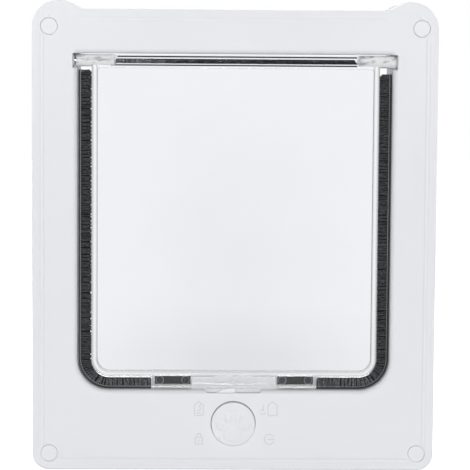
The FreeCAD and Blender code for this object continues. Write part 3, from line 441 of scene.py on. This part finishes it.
# Brush seals: bristles from a backing strip on the passage wall to just off the flap's edge
brush = {
    "seed": 11, "perTuft": 36, "tuftPitch": 1.1, "tuftSpread": 0.29, "rootRadius": 0.14, "tipRadius": 0.085,
    "pileHalf": 2.15, "rootSqueeze": 0.9, "lowLength": 6.3, "rootSink": 0.1, "endRoom": 0.1,
    "lean": (0.28, 0.22), "reach": 0.4, "reachSpread": (0.09, 0.08), "reachLimits": (-0.6, 0.45), "hollow": 0.3,
    "bow": (0.22, 0.07), "slant": 2.2, "slantRun": 2.4,
    "flapGap": 0.3, "lowFlapGap": {"left": 1.2, "right": 0.8}, "wallGap": {"left": 0.45, "right": 0.3},
    "backing": 0.75, "backingHalf": 2.8, "backingEdge": 0.2,
    "coreHalf": 0.9, "coreReach": 0.97, "coreDrop": {"left": 1.0, "right": 0.7}, "coreTopDrop": 1.2,
    "lipReach": {"left": 1.1, "right": 1.2}, "lipRadius": {"left": 0.3, "right": 0.2}, "lipOff": 2.5,
    "wallRadius": 19.3, "tipCorner": 11.8, "innerEnd": 52.2, "top": {"left": 95.1, "right": 93.3},
}


def brushRun(half, low, radius, top, end, share):
    # a point and its outward normal at each share of the way down one side, round the corner and along the sill
    upright, corner = top - (low + radius), radius * math.pi / 2
    total = upright + corner + (half - radius) - end
    s = share * total
    turn = np.clip((s - upright) / corner, 0, 1) * math.pi / 2
    x = half - radius + radius * np.cos(turn) - np.maximum(s - upright - corner, 0)
    z = np.where(s < upright, top - s, low + radius - radius * np.sin(turn))
    return x, z, np.cos(turn), -np.sin(turn), total


def makeBristles(side, sign, top, end):
    # the flap hangs flapShift to the right, so the tips on both sides follow it
    draw = np.random.default_rng(brush["seed"] + sign)
    tipHalf = place["flapHalf"] + brush["flapGap"] + sign * place["flapShift"]
    tipLow = place["flapBottomZ"] - brush["lowFlapGap"][side]
    rootHalf = place["passageHalf"] - brush["wallGap"][side] - brush["backing"]
    total = brushRun(tipHalf, tipLow, brush["tipCorner"], top, end, np.zeros(1))[4]
    tufts = int(total / brush["tuftPitch"])
    tuft = np.repeat(np.arange(tufts), brush["perTuft"])
    count = len(tuft)

    def wander(spreads):
        # a draw shared by each tuft and one for each strand
        return draw.normal(0, spreads[0], tufts)[tuft] + draw.normal(0, spreads[1], count)

    s = (tuft + 0.5 + brush["tuftSpread"] * draw.uniform(-1, 1, count)) * total / tufts
    s = np.clip(s, brush["endRoom"], total - brush["endRoom"])
    depth = draw.uniform(-1, 1, count)
    x, z, nx, nz, _ = brushRun(tipHalf, tipLow, brush["tipCorner"], top, end, s / total)
    tx, tz = nz, -nx
    long = np.where(nx > 0.999, rootHalf - tipHalf, brush["lowLength"]) + brush["rootSink"]
    lean = wander(brush["lean"])
    reach = brush["reach"] + wander(brush["reachSpread"]) - brush["hollow"] * depth ** 2
    # the first strands are cut back on a slant
    cut = np.clip((brush["slantRun"] - s) / brush["slantRun"], 0, 1)
    reach = np.clip(reach, *brush["reachLimits"]) - brush["slant"] * cut ** 2
    off = brush["pileHalf"] * depth
    tip = np.stack([x - nx * reach + tx * lean, place["flapY"] + off, z - nz * reach + tz * lean], -1)
    root = np.stack([x + nx * long, place["flapY"] + brush["rootSqueeze"] * off, z + nz * long], -1)
    across = np.stack([tx, np.zeros_like(tx), tz], -1)
    through = np.array([0.0, 1.0, 0.0])
    middle = (tip + root) / 2 + wander(brush["bow"])[:, None] * across
    # a strand is three rings of three points about the line root, middle, tip, closed at both ends
    spin = draw.uniform(0, 2 * math.pi, count)
    rootRadius, tipRadius = brush["rootRadius"], brush["tipRadius"]
    rings = []
    for line, radius in ((root, rootRadius), (middle, (rootRadius + tipRadius) / 2), (tip, tipRadius)):
        for corner in range(3):
            a = spin + corner * 2 * math.pi / 3
            rings.append(line + radius * (np.cos(a)[:, None] * across + np.sin(a)[:, None] * through))
    points = np.stack(rings, 1)
    points[:, :, 0] *= sign
    start = np.arange(count)[:, None, None] * 9
    walls = np.array([(0, 1, 4, 3), (1, 2, 5, 4), (2, 0, 3, 5), (3, 4, 7, 6), (4, 5, 8, 7), (5, 3, 6, 8)])
    quads = (walls[None] + start).reshape(-1, 4)
    triangles = (np.array([(6, 7, 8), (2, 1, 0)])[None] + start).reshape(-1, 3)
    if sign > 0:
        quads, triangles = quads[:, ::-1], triangles[:, ::-1]
    name = "brush_pile_" + side
    mesh = meshOf(name, points.reshape(-1, 3), quads.tolist() + triangles.tolist())
    return finishPiece(name, mesh, "root", finish["pile"], 80)


def stripAlong(name, sign, outline, half, low, radius, top, end, material, steps=170):
    # a closed outline of (outward, through) points carried down the side, round the corner and along the sill
    x, z, nx, nz, _ = brushRun(half, low, radius, top, end, np.linspace(0, 1, steps))
    points = np.stack([
        sign * (x[:, None] + nx[:, None] * outline[:, 0]),
        place["flapY"] + outline[:, 1] * np.ones((steps, 1)),
        z[:, None] + nz[:, None] * outline[:, 0],
    ], -1)
    mesh = cleaned(meshOf(name, points.reshape(-1, 3), tubeFaces(steps, len(outline))))
    return finishPiece(name, mesh, "root", material)


def makeBrush(side):
    sign = -1 if side == "left" else 1
    top, end = brush["top"][side], brush["innerEnd"] + sign * place["flapShift"]
    w, d, r, c = brush["backing"], brush["backingHalf"], brush["backingEdge"], brush["coreHalf"]
    half, low = place["passageHalf"] - brush["wallGap"][side], place["sillZ"] + brush["wallGap"][side]
    radius = brush["wallRadius"]
    backing = np.array([
        (0, -d + r), (-r, -d), (-w + r, -d), (-w, -d + r), (-w, d - r), (-w + r, d), (-r, d), (0, d - r),
    ])
    length = (half - place["flapHalf"] - w) * brush["coreReach"]
    # a near-black strip inside the pile, painted shade for the gaps between the tufts
    shadeCore = np.array([(r, -c), (-length, -0.4 * c), (-length, 0.4 * c), (r, c)])
    coreLow, coreTop = low + w - brush["coreDrop"][side], top - brush["coreTopDrop"]
    around = -np.linspace(0, 2 * math.pi, 8, endpoint=False)
    bead = brush["lipRadius"][side] * np.stack([np.cos(around), np.sin(around)], -1) - (brush["lipReach"][side], 0)
    pieces = [makeBristles(side, sign, top, end)]
    for name, outline, way, material in (
        ("backing", backing, (half, low, radius, top), "backing"),
        ("shadeCore", shadeCore, (half - w, coreLow, radius - w, coreTop), "shadeCore"),
        # the lips' paler grey is the painted highlight of the backing's edge
        ("lip_front", bead - (0, brush["lipOff"]), (half, low, radius, top), "lipHighlight"),
        ("lip_rear", bead + (0, brush["lipOff"]), (half, low, radius, top), "lipHighlight"),
    ):
        pieces.append(stripAlong(f"brush_{name}_{side}", sign, outline, *way, end, finish[material]))
    for piece in pieces:
        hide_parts("brush_seal_" + side)


for side in ("left", "right"):
    makeBrush(side)
print("brush seals made")

# Top seal: a dark pile strip along the inside of the clear hinge barrel, its ends cut on a slant,
# and the two thin lips of the strip's carrier above and below it
topSeal = {
    "left": -75.9, "right": 76.2, "halfHeight": 1.44, "halfDepth": 1.7, "squareness": 0.6, "drop": 0.18, "slant": 2.2,
    "steps": 620, "round": 20, "fuzz": 0.05, "seed": 5, "lipSteps": 40, "lipRound": 12,
    "upperLip": {"left": -73.4, "right": 76.0, "z": 103.22, "halfHeight": 0.44, "y": -8.6, "halfDepth": 0.9},
    "lowerLip": {"left": -77.6, "right": 76.0, "z": 98.0, "halfHeight": 0.46, "y": -8.6, "halfDepth": 0.9},
}


def barAlong(name, left, right, section, slant, material):
    # a closed section of (through, up) offsets per step, carried along X; the ends lean by slant over its height
    steps, count, _ = section.shape
    share = np.linspace(0, 1, steps)[:, None]
    high = section[:, :, 1].max()
    lean = slant * (section[:, :, 1] + high) / (2 * high)
    x = left + lean + share * (right - left - 2 * lean)
    points = np.stack([x, place["flapY"] + section[:, :, 0], place["hingeZ"] + section[:, :, 1]], -1)
    mesh = cleaned(meshOf(name, points.reshape(-1, 3), tubeFaces(steps, count)))
    return finishPiece(name, mesh, "flap", material, 80)


def squared(value):
    # a cosine or sine pulled towards 1 or -1, which turns a round section into a rounder-cornered bar
    return np.sign(value) * np.abs(value) ** topSeal["squareness"]


def makeTopSeal():
    # the pile: a flattened round whose surface wanders by fuzz * noise
    draw = np.random.default_rng(topSeal["seed"])
    turn = np.linspace(0, 2 * math.pi, topSeal["round"], endpoint=False)
    rough = 1 + topSeal["fuzz"] * draw.normal(0, 1, (topSeal["steps"], topSeal["round"]))
    section = np.stack([
        rough * topSeal["halfDepth"] * squared(np.cos(turn)),
        rough * topSeal["halfHeight"] * squared(np.sin(turn)) - topSeal["drop"],
    ], -1)
    pieces = [barAlong("top_seal_pile", topSeal["left"], topSeal["right"], section, topSeal["slant"], finish["bar"])]
    turn = np.linspace(0, 2 * math.pi, topSeal["lipRound"], endpoint=False)
    for key in ("upperLip", "lowerLip"):
        lip = topSeal[key]
        section = np.stack([
            lip["y"] - place["flapY"] + lip["halfDepth"] * np.cos(turn),
            lip["z"] - place["hingeZ"] + lip["halfHeight"] * np.sin(turn),
        ], -1)[None] * np.ones((topSeal["lipSteps"], 1, 1))
        pieces.append(barAlong("top_seal_" + key, lip["left"], lip["right"], section, 0, finish["sealLip"]))
    for piece in pieces:
        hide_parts("flap_top_seal")


makeTopSeal()
print("top seal made")

# Knob: a disc with a soft rim, a raised paw print, a pointer notch, and its hub and D-shaped spindle behind
knob = {
    "radius": 13.72, "frontY": -21.2, "backY": -16.2, "edge": 0.7, "edgeDepth": 0.6, "pawHeight": 0.4, "pawSlope": 0.7,
    "pointerTurn": 225.0, "pointerHalfTurn": 3.4, "pointerReach": 2.6, "pointerDepth": 0.5, "pointerTip": 0.45,
    "hubRadius": 4.0, "hubEndY": -13.6, "spindleRadius": 2.8, "spindleFlat": 2.1, "spindleEndY": -2.8,
    "padZ": -5.6, "padClock": (-90, -65, -39, -14, 21, 55, 90), "padRadius": (5.0, 5.5, 6.3, 6.0, 5.1, 5.2, 5.3),
    "toes": ((-8.2, -0.8, -24), (-3.1, 4.0, -8), (3.1, 4.0, 8), (8.2, -0.8, 24)), "toeHalf": (2.0, 2.8),
    "pilotRadius": 1.05, "pilotEndY": -10.8, "turns": 288,
}


def softStep(value):
    value = np.clip(value, 0, 1)
    return value * value * (3 - 2 * value)


def pawHeight(x, z):
    # distance to the nearest of a rounded main pad and four leaning toes, turned into a plateau with sloped sides
    def blob(cx, cz, halfWidth, halfLength, lean):
        a = math.radians(lean)
        u = (x - cx) * math.cos(a) - (z - cz) * math.sin(a)
        v = (x - cx) * math.sin(a) + (z - cz) * math.cos(a)
        return (np.hypot(u / halfWidth, v / halfLength) - 1) * min(halfWidth, halfLength)

    # the pad's edge as a radius for each direction about its middle
    clock = np.degrees(np.arctan2(z - knob["padZ"], np.abs(x)))
    padEdge = np.interp(clock, knob["padClock"], knob["padRadius"])
    pad = np.hypot(x, z - knob["padZ"]) - padEdge
    toes = [blob(*toe, *knob["toeHalf"], lean) for *toe, lean in knob["toes"]]
    nearest = np.minimum.reduce([pad] + toes)
    return knob["pawHeight"] * softStep(0.5 - nearest / (2 * knob["pawSlope"]))


def makeKnob():
    edge, radius = knob["edge"], knob["radius"]
    inner = np.linspace(0.02, radius - edge, 64)
    bend = np.linspace(0, math.pi / 2, 9)[1:]
    rim = np.stack([radius - edge + edge * np.sin(bend), knob["frontY"] + knob["edgeDepth"] * (1 - np.cos(bend))], -1)
    hub, spindle, pilot = knob["hubRadius"], knob["spindleRadius"], knob["pilotRadius"]
    profile = [(r, knob["frontY"]) for r in inner] + [tuple(p) for p in rim]
    profile += [(radius, y) for y in np.linspace(knob["frontY"] + knob["edgeDepth"], knob["backY"] - 0.3, 7)[1:]]
    profile += [(radius - 0.3, knob["backY"]), (hub, knob["backY"]), (hub, knob["hubEndY"])]
    profile += [(spindle, knob["hubEndY"]), (spindle, knob["spindleEndY"])]
    profile += [(pilot, knob["spindleEndY"]), (pilot, knob["pilotEndY"]), (0.02, knob["pilotEndY"])]

    def shape(r, y, turn):
        # the front gets the paw and the pointer's wedge, the spindle its flat
        x, z = r * np.cos(turn), r * np.sin(turn)
        rows = np.arange(len(profile))[:, None] * np.ones_like(r)
        front = rows < len(inner) + len(rim)
        y = y - np.where(rows < len(inner), pawHeight(x, z), 0)
        clock = np.degrees(np.arctan2(x, z)) % 360
        off = np.abs((clock - knob["pointerTurn"] + 180) % 360 - 180)
        wide = knob["pointerHalfTurn"] * np.clip((r - radius + knob["pointerReach"]) / knob["pointerReach"], 0, 1)
        wedge = knob["pointerDepth"] * softStep((wide - off) / 2.2 + 0.3) * (wide > 0.1)
        tip = knob["pointerTip"] * softStep((knob["pointerHalfTurn"] - off) / 1.8 + 0.5)
        onSide = (rows >= len(inner)) & (rows < len(inner) + len(rim) + 6)
        r = r + np.where(onSide, tip * np.clip((rows - len(inner) + 1) / len(rim), 0, 1), 0)
        y = y + np.where(front, np.minimum(wedge, np.maximum(knob["backY"] - 1.5 - y, 0)), 0)
        onSpindle = (rows >= len(profile) - 5) & (rows < len(profile) - 3)
        flat = knob["spindleFlat"] / np.maximum(np.cos(turn), 0.2)
        return np.where(onSpindle, np.minimum(r, flat), r), y

    mesh = cleaned(meshOf("lock_knob_turned", *lathe(profile, 0, place["lockZ"], knob["turns"], shape)))
    piece = finishPiece("lock_knob_turned", mesh, "lock", finish["knob"], 40)
    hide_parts("lock_knob")


makeKnob()
print("knob made")

# Screw caps: a flush disc with a softened edge and a ring plug behind
cap = {
    "radius": 5.15, "frontY": -17.3, "backY": -15.7, "edge": 0.4, "crown": 0.12,
    "plug": 4.7, "plugWall": 1.0, "plugEdge": 0.2, "plugFloorY": -16.2, "plugEndY": -14.9, "turns": 72,
}


def makeCap(name, x, z):
    edge, radius = cap["edge"], cap["radius"]
    flat = np.linspace(0.02, radius - edge, 10)
    bend = np.linspace(0, math.pi / 2, 6)[1:]
    rimY, plug, bore, slope = cap["frontY"] + cap["crown"], cap["plug"], cap["plug"] - cap["plugWall"], cap["plugEdge"]
    profile = [(r, cap["frontY"] + cap["crown"] * (r / radius) ** 2) for r in flat]
    profile += [(radius - edge + edge * math.sin(b), rimY + edge * (1 - math.cos(b))) for b in bend]
    profile += [(radius, cap["backY"]), (plug, cap["backY"]), (plug, cap["plugEndY"] - slope)]
    profile += [(plug - slope, cap["plugEndY"]), (bore, cap["plugEndY"])]
    profile += [(bore, cap["plugFloorY"]), (0.02, cap["plugFloorY"])]
    mesh = cleaned(meshOf("screw_cap_turned_" + name, *lathe(profile, x, z, cap["turns"])))
    piece = finishPiece("screw_cap_turned_" + name, mesh, "root", finish["cap"])
    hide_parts("screw_cap_" + name)


# Frame screws: a slotted head and a rolled thread along the whole shank
thread = {
    "pitch": 0.7, "rootRadius": 1.66, "crestRadius": 1.98, "perPitch": 8, "turns": 24, "startY": -12.2, "endY": 46.0,
    "headRadius": 4.0, "headY": -14.6, "seatY": -12.2, "headEdge": 0.8, "slotHalf": 0.5, "slotDepth": 1.2,
    "insertRadius": 1.76, "insertY": 39.9, "taper": 0.8, "headTurns": 120,
}


def makeScrew(name, x, z):
    # thread radius = root + (crest - root) * triangle wave of (distance / pitch - turn / 2 pi)
    rows = int((thread["endY"] - thread["startY"]) / thread["pitch"] * thread["perPitch"])
    y = np.linspace(thread["startY"], thread["endY"], rows)[:, None]
    turn = np.linspace(0, 2 * math.pi, thread["turns"], endpoint=False)[None, :]
    phase = (y / thread["pitch"] - turn / (2 * math.pi)) % 1
    crest = np.where(y > thread["insertY"], thread["insertRadius"], thread["crestRadius"])
    radius = thread["rootRadius"] + (crest - thread["rootRadius"]) * (1 - np.abs(2 * phase - 1))
    radius = radius * np.clip((thread["endY"] - y) / thread["taper"], 0.7, 1)
    points = np.stack([x + radius * np.cos(turn), y + 0 * radius, z + radius * np.sin(turn)], -1).reshape(-1, 3)
    bend = np.linspace(0, math.pi / 2, 6)[1:]
    edge, headRadius, headY = thread["headEdge"], thread["headRadius"], thread["headY"]
    slotY = headY + thread["slotDepth"]
    profile = [(r, headY) for r in np.linspace(0.02, headRadius - edge, 26)]
    profile += [(headRadius - edge + edge * math.sin(b), headY + edge * (1 - math.cos(b))) for b in bend]
    profile += [(headRadius, thread["seatY"]), (0.02, thread["seatY"])]

    def cutSlot(r, y, turn):
        inSlot = (np.abs(r * np.sin(turn)) < thread["slotHalf"]) & (y < slotY)
        return r, np.where(inSlot, slotY, y)

    head = lathe(profile, x, z, thread["headTurns"], cutSlot)
    allPoints, allFaces = joined([(points, tubeFaces(rows, thread["turns"])), head])
    mesh = cleaned(meshOf("frame_screw_turned_" + name, allPoints, allFaces), 0.0005)
    piece = finishPiece("frame_screw_turned_" + name, mesh, "root", finish["steel"], 45)
    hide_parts("frame_screw_" + name)


for name, (x, z) in screwPlaces.items():
    makeCap(name, x, z)
    makeScrew(name, x, z)
print("caps and screws made")

# Magnet holders with a fine paler ring round each magnet: its grey is the magnet's ground edge and a painted highlight
# on that edge's chamfer
magnets = {
    "places": (30.5, 46.7), "z": -99.65, "frontY": -9.7, "ringRadius": 2.42, "ringWidth": 0.42, "ringHeight": 0.12,
}


def makeRings(side):
    sign = -1 if side == "left" else 1
    shapes = []
    for x in magnets["places"]:
        turn = np.linspace(0, 2 * math.pi, 13)
        profile = np.stack([
            magnets["ringRadius"] + magnets["ringWidth"] / 2 * np.cos(turn),
            magnets["frontY"] - magnets["ringHeight"] * np.sin(turn),
        ], -1)
        shapes.append(lathe(profile, sign * x + place["flapShift"], magnets["z"], 48, capped=False))
    points, faces = joined(shapes)
    mesh = cleaned(meshOf("magnet_rings_" + side, points, faces))
    finishPiece("magnet_rings_" + side, mesh, "flap", finish["ring"])


for side in ("left", "right"):
    makeRings(side)
    weldedCopy("magnet_holder_" + side, finish["holder"], 32, 0.12)
    for spot in ("inner", "outer"):
        weldedCopy(f"flap_magnet_{side}_{spot}", finish["magnet"], 32, 0.1)
print("magnets made")

# Signs round the knob: fine raised strokes in the plate, one for each setting of the lock
signs = {"strokeHalf": 0.28, "rise": 0.12, "sink": 0.05, "step": 0.12}


def arcPoints(cx, cz, radius, start, end):
    a = np.radians(np.linspace(start, end, max(int(abs(end - start) / 8), 3)))
    return [(cx + radius * c, cz + radius * s) for c, s in zip(np.cos(a), np.sin(a))]


def stroke(line):
    # a half-round bead along the line: five points across, laid square to the local direction, sunk at both ends
    line = np.asarray(line, float)
    length = np.concatenate([[0], np.cumsum(np.hypot(*np.diff(line, axis=0).T))])
    count = max(int(length[-1] / signs["step"]), 4)
    s = np.linspace(0, length[-1], count)
    x, z = np.interp(s, length, line[:, 0]), np.interp(s, length, line[:, 1])
    dx, dz = np.gradient(x), np.gradient(z)
    size = np.hypot(dx, dz)
    dx, dz = dx / size, dz / size
    across = np.array([-1, -0.72, 0, 0.72, 1, 0]) * signs["strokeHalf"]
    high = np.array([0, 0.7, 1, 0.7, 0, 0]) * signs["rise"]
    fade = softStep(np.minimum(s, length[-1] - s) / 0.2 + 0.15)[:, None]
    points = np.stack([
        x[:, None] - dz[:, None] * across * (0.5 + 0.5 * fade),
        place["roomFaceY"] + signs["sink"] - (signs["sink"] + high) * fade * (high > 0),
        z[:, None] + dx[:, None] * across * (0.5 + 0.5 * fade),
    ], -1)
    return points.reshape(-1, 3), tubeFaces(count, len(across))


def house(x0, x1, low, eave, top):
    middle = (x0 + x1) / 2
    return [(x0, low), (x0, eave), (middle, top), (x1, eave), (x1, low), (x0 + 0.2, low)]


def makeSigns():
    base = place["lockZ"] - 29.2
    # each sign is drawn about the knob's upright, then set off by its own amount
    lines = []
    for (dx, dz), strokes in (
        ((0.6, -0.5), [
            house(-25.0, -19.4, 34.6, 41.2, 43.4), [(-23.6, 36.0), (-20.9, 36.0)],
            [(-20.9, 41.6), (-22.0, 40.4), (-21.0, 39.0), (-22.0, 37.7), (-23.6, 37.2)],
        ]),
        ((1.4, -0.5), [
            house(20.4, 26.2, 34.6, 41.0, 43.4), [(17.6, 41.6), (17.6, 38.0), (15.6, 38.0)],
            [(15.2, 35.6), (18.6, 35.6), (18.6, 36.8)],
        ]),
        ((0.9, 0.8), [
            [(-24.6, 15.0), (-24.6, 19.4), (-20.0, 19.4), (-20.0, 15.0), (-24.4, 15.0)], [(-22.3, 18.0), (-22.3, 16.6)],
            [(-23.6, 19.6), (-23.6, 20.6)] + arcPoints(-22.3, 20.6, 1.3, 180, 0) + [(-21.0, 19.6)],
        ]),
        ((2.1, -0.3), [arcPoints(20.7, 19.3, 3.2, 20, 345), [(19.0, 19.2), (24.3, 19.2)]]),
    ):
        lines += [[(x + dx, z + dz + base) for x, z in points] for points in strokes]
    points, faces = joined([stroke(line) for line in lines])
    mesh = cleaned(meshOf("lock_signs", points, faces), 0.001)
    finishPiece("lock_signs", mesh, "root", finish["sign"], 60)


makeSigns()
print("signs made")

# The frames and the rest of the lock and hinge keep the source's shapes
rest = {
    "room_side_frame": 0, "outer_side_frame": 0, "lock_cover": 0.12, "lock_cam_front": 0.15, "lock_cam_rear": 0.15,
    "lock_spacer": 0, "lock_washer": 0, "lock_screw": 0, "detent_spring": 0, "hinge_bush_left": 0,
    "hinge_bush_right": 0, "hinge_pin_left": 0, "hinge_pin_right": 0, "keeper_plate_left": 0.1,
    "keeper_plate_right": 0.1, "cover_screw_left": 0, "cover_screw_right": 0,
}
for name in screwPlaces:
    rest["threaded_sleeve_" + name] = 0
recess = {"radius": 14.3, "from": 0.2, "to": 1.3}
for node, soften in rest.items():
    piece = weldedCopy(node, finish[finishOfSlot[slotOf[node]]], 32, soften, node.endswith("side_frame"))
    if node == "room_side_frame":
        # painted shade: the faces in the knob's recess get a near-black finish, so its narrow gap shows as a dark ring
        piece.data.materials.append(finish["recess"])
        for face in piece.data.polygons:
            x, y, z = face.center / mm
            behind = y - place["roomFaceY"]
            if math.hypot(x, z - place["lockZ"]) < recess["radius"] and recess["from"] < behind < recess["to"]:
                face.material_index = 1
print("frames and small parts made")

# Camera at the photograph's view: 4.8 degrees down and 1.3 degrees round
camera = {
    "target": (0.347, -17.0, -7.22), "distance": 1300.0, "pitch": 4.811, "yaw": 1.279, "roll": 0.404,
    "lens": 159.74, "sensor": 36.0,
}
pitch, yaw, roll = (math.radians(camera[k]) for k in ("pitch", "yaw", "roll"))
forward = Vector((math.sin(yaw) * math.cos(pitch), math.cos(yaw) * math.cos(pitch), -math.sin(pitch)))
level = Vector((math.cos(yaw), -math.sin(yaw), 0))
above = level.cross(forward)
sideways = math.cos(roll) * level + math.sin(roll) * above
upward = math.cos(roll) * above - math.sin(roll) * level
eye = (Vector(camera["target"]) - camera["distance"] * forward) * mm
view = bpy.data.objects.new("camera", bpy.data.cameras.new("camera"))
view.data.lens, view.data.sensor_width = camera["lens"], camera["sensor"]
view.data.clip_start, view.data.clip_end = 0.05, 50
view.matrix_world = Matrix([(sideways[i], upward[i], -forward[i], eye[i]) for i in range(3)] + [(0, 0, 0, 1)])
bpy.context.scene.collection.objects.link(view)
bpy.context.scene.camera = view
print("camera placed")

# Studio: a pale floor, a broad lamp in front, a small one near each upper corner, soft ones beside, above and behind
studio = {
    "floorSize": 8.0, "floorColour": (0.80, 0.80, 0.81), "floorLift": 0.9, "world": 0.2,
    "lamps": {
        "front": {"size": (2.0, 1.0), "at": (0.0, -4.0, 0.78), "aim": (0, 0, 0), "energy": 95.0},
        "leftHigh": {"size": (0.1, 0.12), "at": (-0.2, -0.14, 0.19), "aim": (-0.1, 0, 0.12), "energy": 0.024},
        "rightHigh": {"size": (0.1, 0.12), "at": (0.2, -0.14, 0.19), "aim": (0.1, 0, 0.12), "energy": 0.018},
        "left": {"size": (0.1, 0.5), "at": (-0.5, 0.05, 0.06), "aim": (-0.12, 0.02, 0), "energy": 0.6},
        "right": {"size": (0.1, 0.5), "at": (0.5, 0.05, 0.06), "aim": (0.12, 0.02, 0), "energy": 0.6},
        "above": {"size": (0.5, 0.1), "at": (0.0, 0.05, 0.56), "aim": (0, 0.02, 0.13), "energy": 0.75},
        "behind": {"size": (0.8, 0.6), "at": (0.0, 0.75, 0.5), "aim": (0, 0, -0.05), "energy": 3.0},
    },
    "throughTint": (0.989, 0.992, 1.016),
    "through": {
        "level": 0.902, "column": 0.052, "columnAt": 0.024, "columnWidth": 0.045, "columnFade": (-0.085, -0.005),
        "foot": 0.085, "footWidth": 0.075, "footFade": (-0.142, -0.118), "sides": 0.65, "sidesFade": (0.3, 0.9),
        "leastAhead": 0.2,
    },
}
for name, spec in studio["lamps"].items():
    data = bpy.data.lights.new(name, "AREA")
    data.shape, data.energy = "RECTANGLE", spec["energy"]
    data.size, data.size_y = spec["size"]
    lamp = bpy.data.objects.new(name, data)
    lamp.location = spec["at"]
    lamp.rotation_euler = (Vector(spec["aim"]) - Vector(spec["at"])).to_track_quat("-Z", "Y").to_euler()
    bpy.context.scene.collection.objects.link(lamp)


def throughLevel(tree):
    # what shows through the clear flap: level - column * exp(-u^2) * rise(v) - foot * exp(-u^2) * fall(v),
    # where u and v are the world direction's slopes, so a soft grey patch stands low behind the object;
    # towards the sides and the zenith the level falls to sides, which draws the clear moulding's edges
    spec = studio["through"]
    where = tree.nodes.new("ShaderNodeTexCoord")
    split = tree.nodes.new("ShaderNodeSeparateXYZ")
    tree.links.new(where.outputs["Generated"], split.inputs[0])
    ahead = mathNode(tree, "MAXIMUM", split.outputs["Y"], spec["leastAhead"])
    u = mathNode(tree, "SUBTRACT", mathNode(tree, "DIVIDE", split.outputs["X"], ahead), spec["columnAt"])
    v = mathNode(tree, "DIVIDE", split.outputs["Z"], ahead)

    def patch(width, fade, depth):
        share = mathNode(tree, "DIVIDE", u, width)
        bell = mathNode(tree, "EXPONENT", mathNode(tree, "MULTIPLY", mathNode(tree, "MULTIPLY", share, share), -1.0))
        return mathNode(tree, "MULTIPLY", mathNode(tree, "MULTIPLY", bell, rangeOf(tree, v, 1.0, 0.0, *fade)), depth)

    column = patch(spec["columnWidth"], spec["columnFade"], spec["column"])
    foot = patch(spec["footWidth"], spec["footFade"], spec["foot"])
    sides = (mathNode(tree, "ABSOLUTE", split.outputs[axis]) for axis in ("X", "Z"))
    level = rangeOf(tree, mathNode(tree, "MAXIMUM", *sides), spec["level"], spec["sides"], *spec["sidesFade"])
    return mathNode(tree, "SUBTRACT", mathNode(tree, "SUBTRACT", level, column), foot)


def shaderMix(tree, factor, plain, other):
    node = tree.nodes.new("ShaderNodeMixShader")
    for i, source in enumerate((factor, plain, other)):
        tree.links.new(source, node.inputs[i])
    return node.outputs[0]


world = bpy.data.worlds.new("studio")
world.use_nodes = True
tree = world.node_tree
tree.nodes.clear()
out = tree.nodes.new("ShaderNodeOutputWorld")
path = tree.nodes.new("ShaderNodeLightPath")
backgrounds = []
for strength, tint in ((studio["world"], (1, 1, 1)), (1.0, (1, 1, 1)), (throughLevel(tree), studio["throughTint"])):
    node = tree.nodes.new("ShaderNodeBackground")
    node.inputs["Color"].default_value = (*tint, 1)
    if isinstance(strength, float):
        node.inputs["Strength"].default_value = strength
    else:
        tree.links.new(strength, node.inputs["Strength"])
    backgrounds.append(node.outputs[0])
direct = mathNode(tree, "MAXIMUM", path.outputs["Is Camera Ray"], path.outputs["Is Glossy Ray"])
seen = shaderMix(tree, direct, backgrounds[0], backgrounds[1])
glass = shaderMix(tree, path.outputs["Is Transmission Ray"], seen, backgrounds[2])
tree.links.new(glass, out.inputs["Surface"])
bpy.context.scene.world = world

half, z = studio["floorSize"] / 2, place["bottomZ"] * mm
floorMesh = bpy.data.meshes.new("floor")
floorMesh.from_pydata([(-half, -half, z), (half, -half, z), (half, half, z), (-half, half, z)], [], [(0, 1, 2, 3)])
floor = bpy.data.objects.new("floor", floorMesh)
bpy.context.scene.collection.objects.link(floor)
floorFinish = bpy.data.materials.new("floor")
floorFinish.use_nodes = True
tree = floorFinish.node_tree
tree.nodes.clear()
out = tree.nodes.new("ShaderNodeOutputMaterial")
path = tree.nodes.new("ShaderNodeLightPath")
matt = tree.nodes.new("ShaderNodeBsdfDiffuse")
matt.inputs["Color"].default_value = (*studio["floorColour"], 1)
lift = tree.nodes.new("ShaderNodeEmission")
lift.inputs["Color"].default_value = (1, 1, 1, 1)
tree.links.new(mathNode(tree, "MULTIPLY", path.outputs["Is Camera Ray"], studio["floorLift"]), lift.inputs["Strength"])
lit = tree.nodes.new("ShaderNodeAddShader")
tree.links.new(matt.outputs[0], lit.inputs[0])
tree.links.new(lift.outputs[0], lit.inputs[1])
plain = tree.nodes.new("ShaderNodeEmission")
plain.inputs["Strength"].default_value = 1.0
clear = tree.nodes.new("ShaderNodeBsdfTransparent")
even = shaderMix(tree, path.outputs["Is Glossy Ray"], lit.outputs[0], plain.outputs[0])
mixed = shaderMix(tree, path.outputs["Is Transmission Ray"], even, clear.outputs[0])
tree.links.new(mixed, out.inputs["Surface"])
floorMesh.materials.append(floorFinish)
bpy.context.scene.view_settings.view_transform = "Standard"
print("studio built")
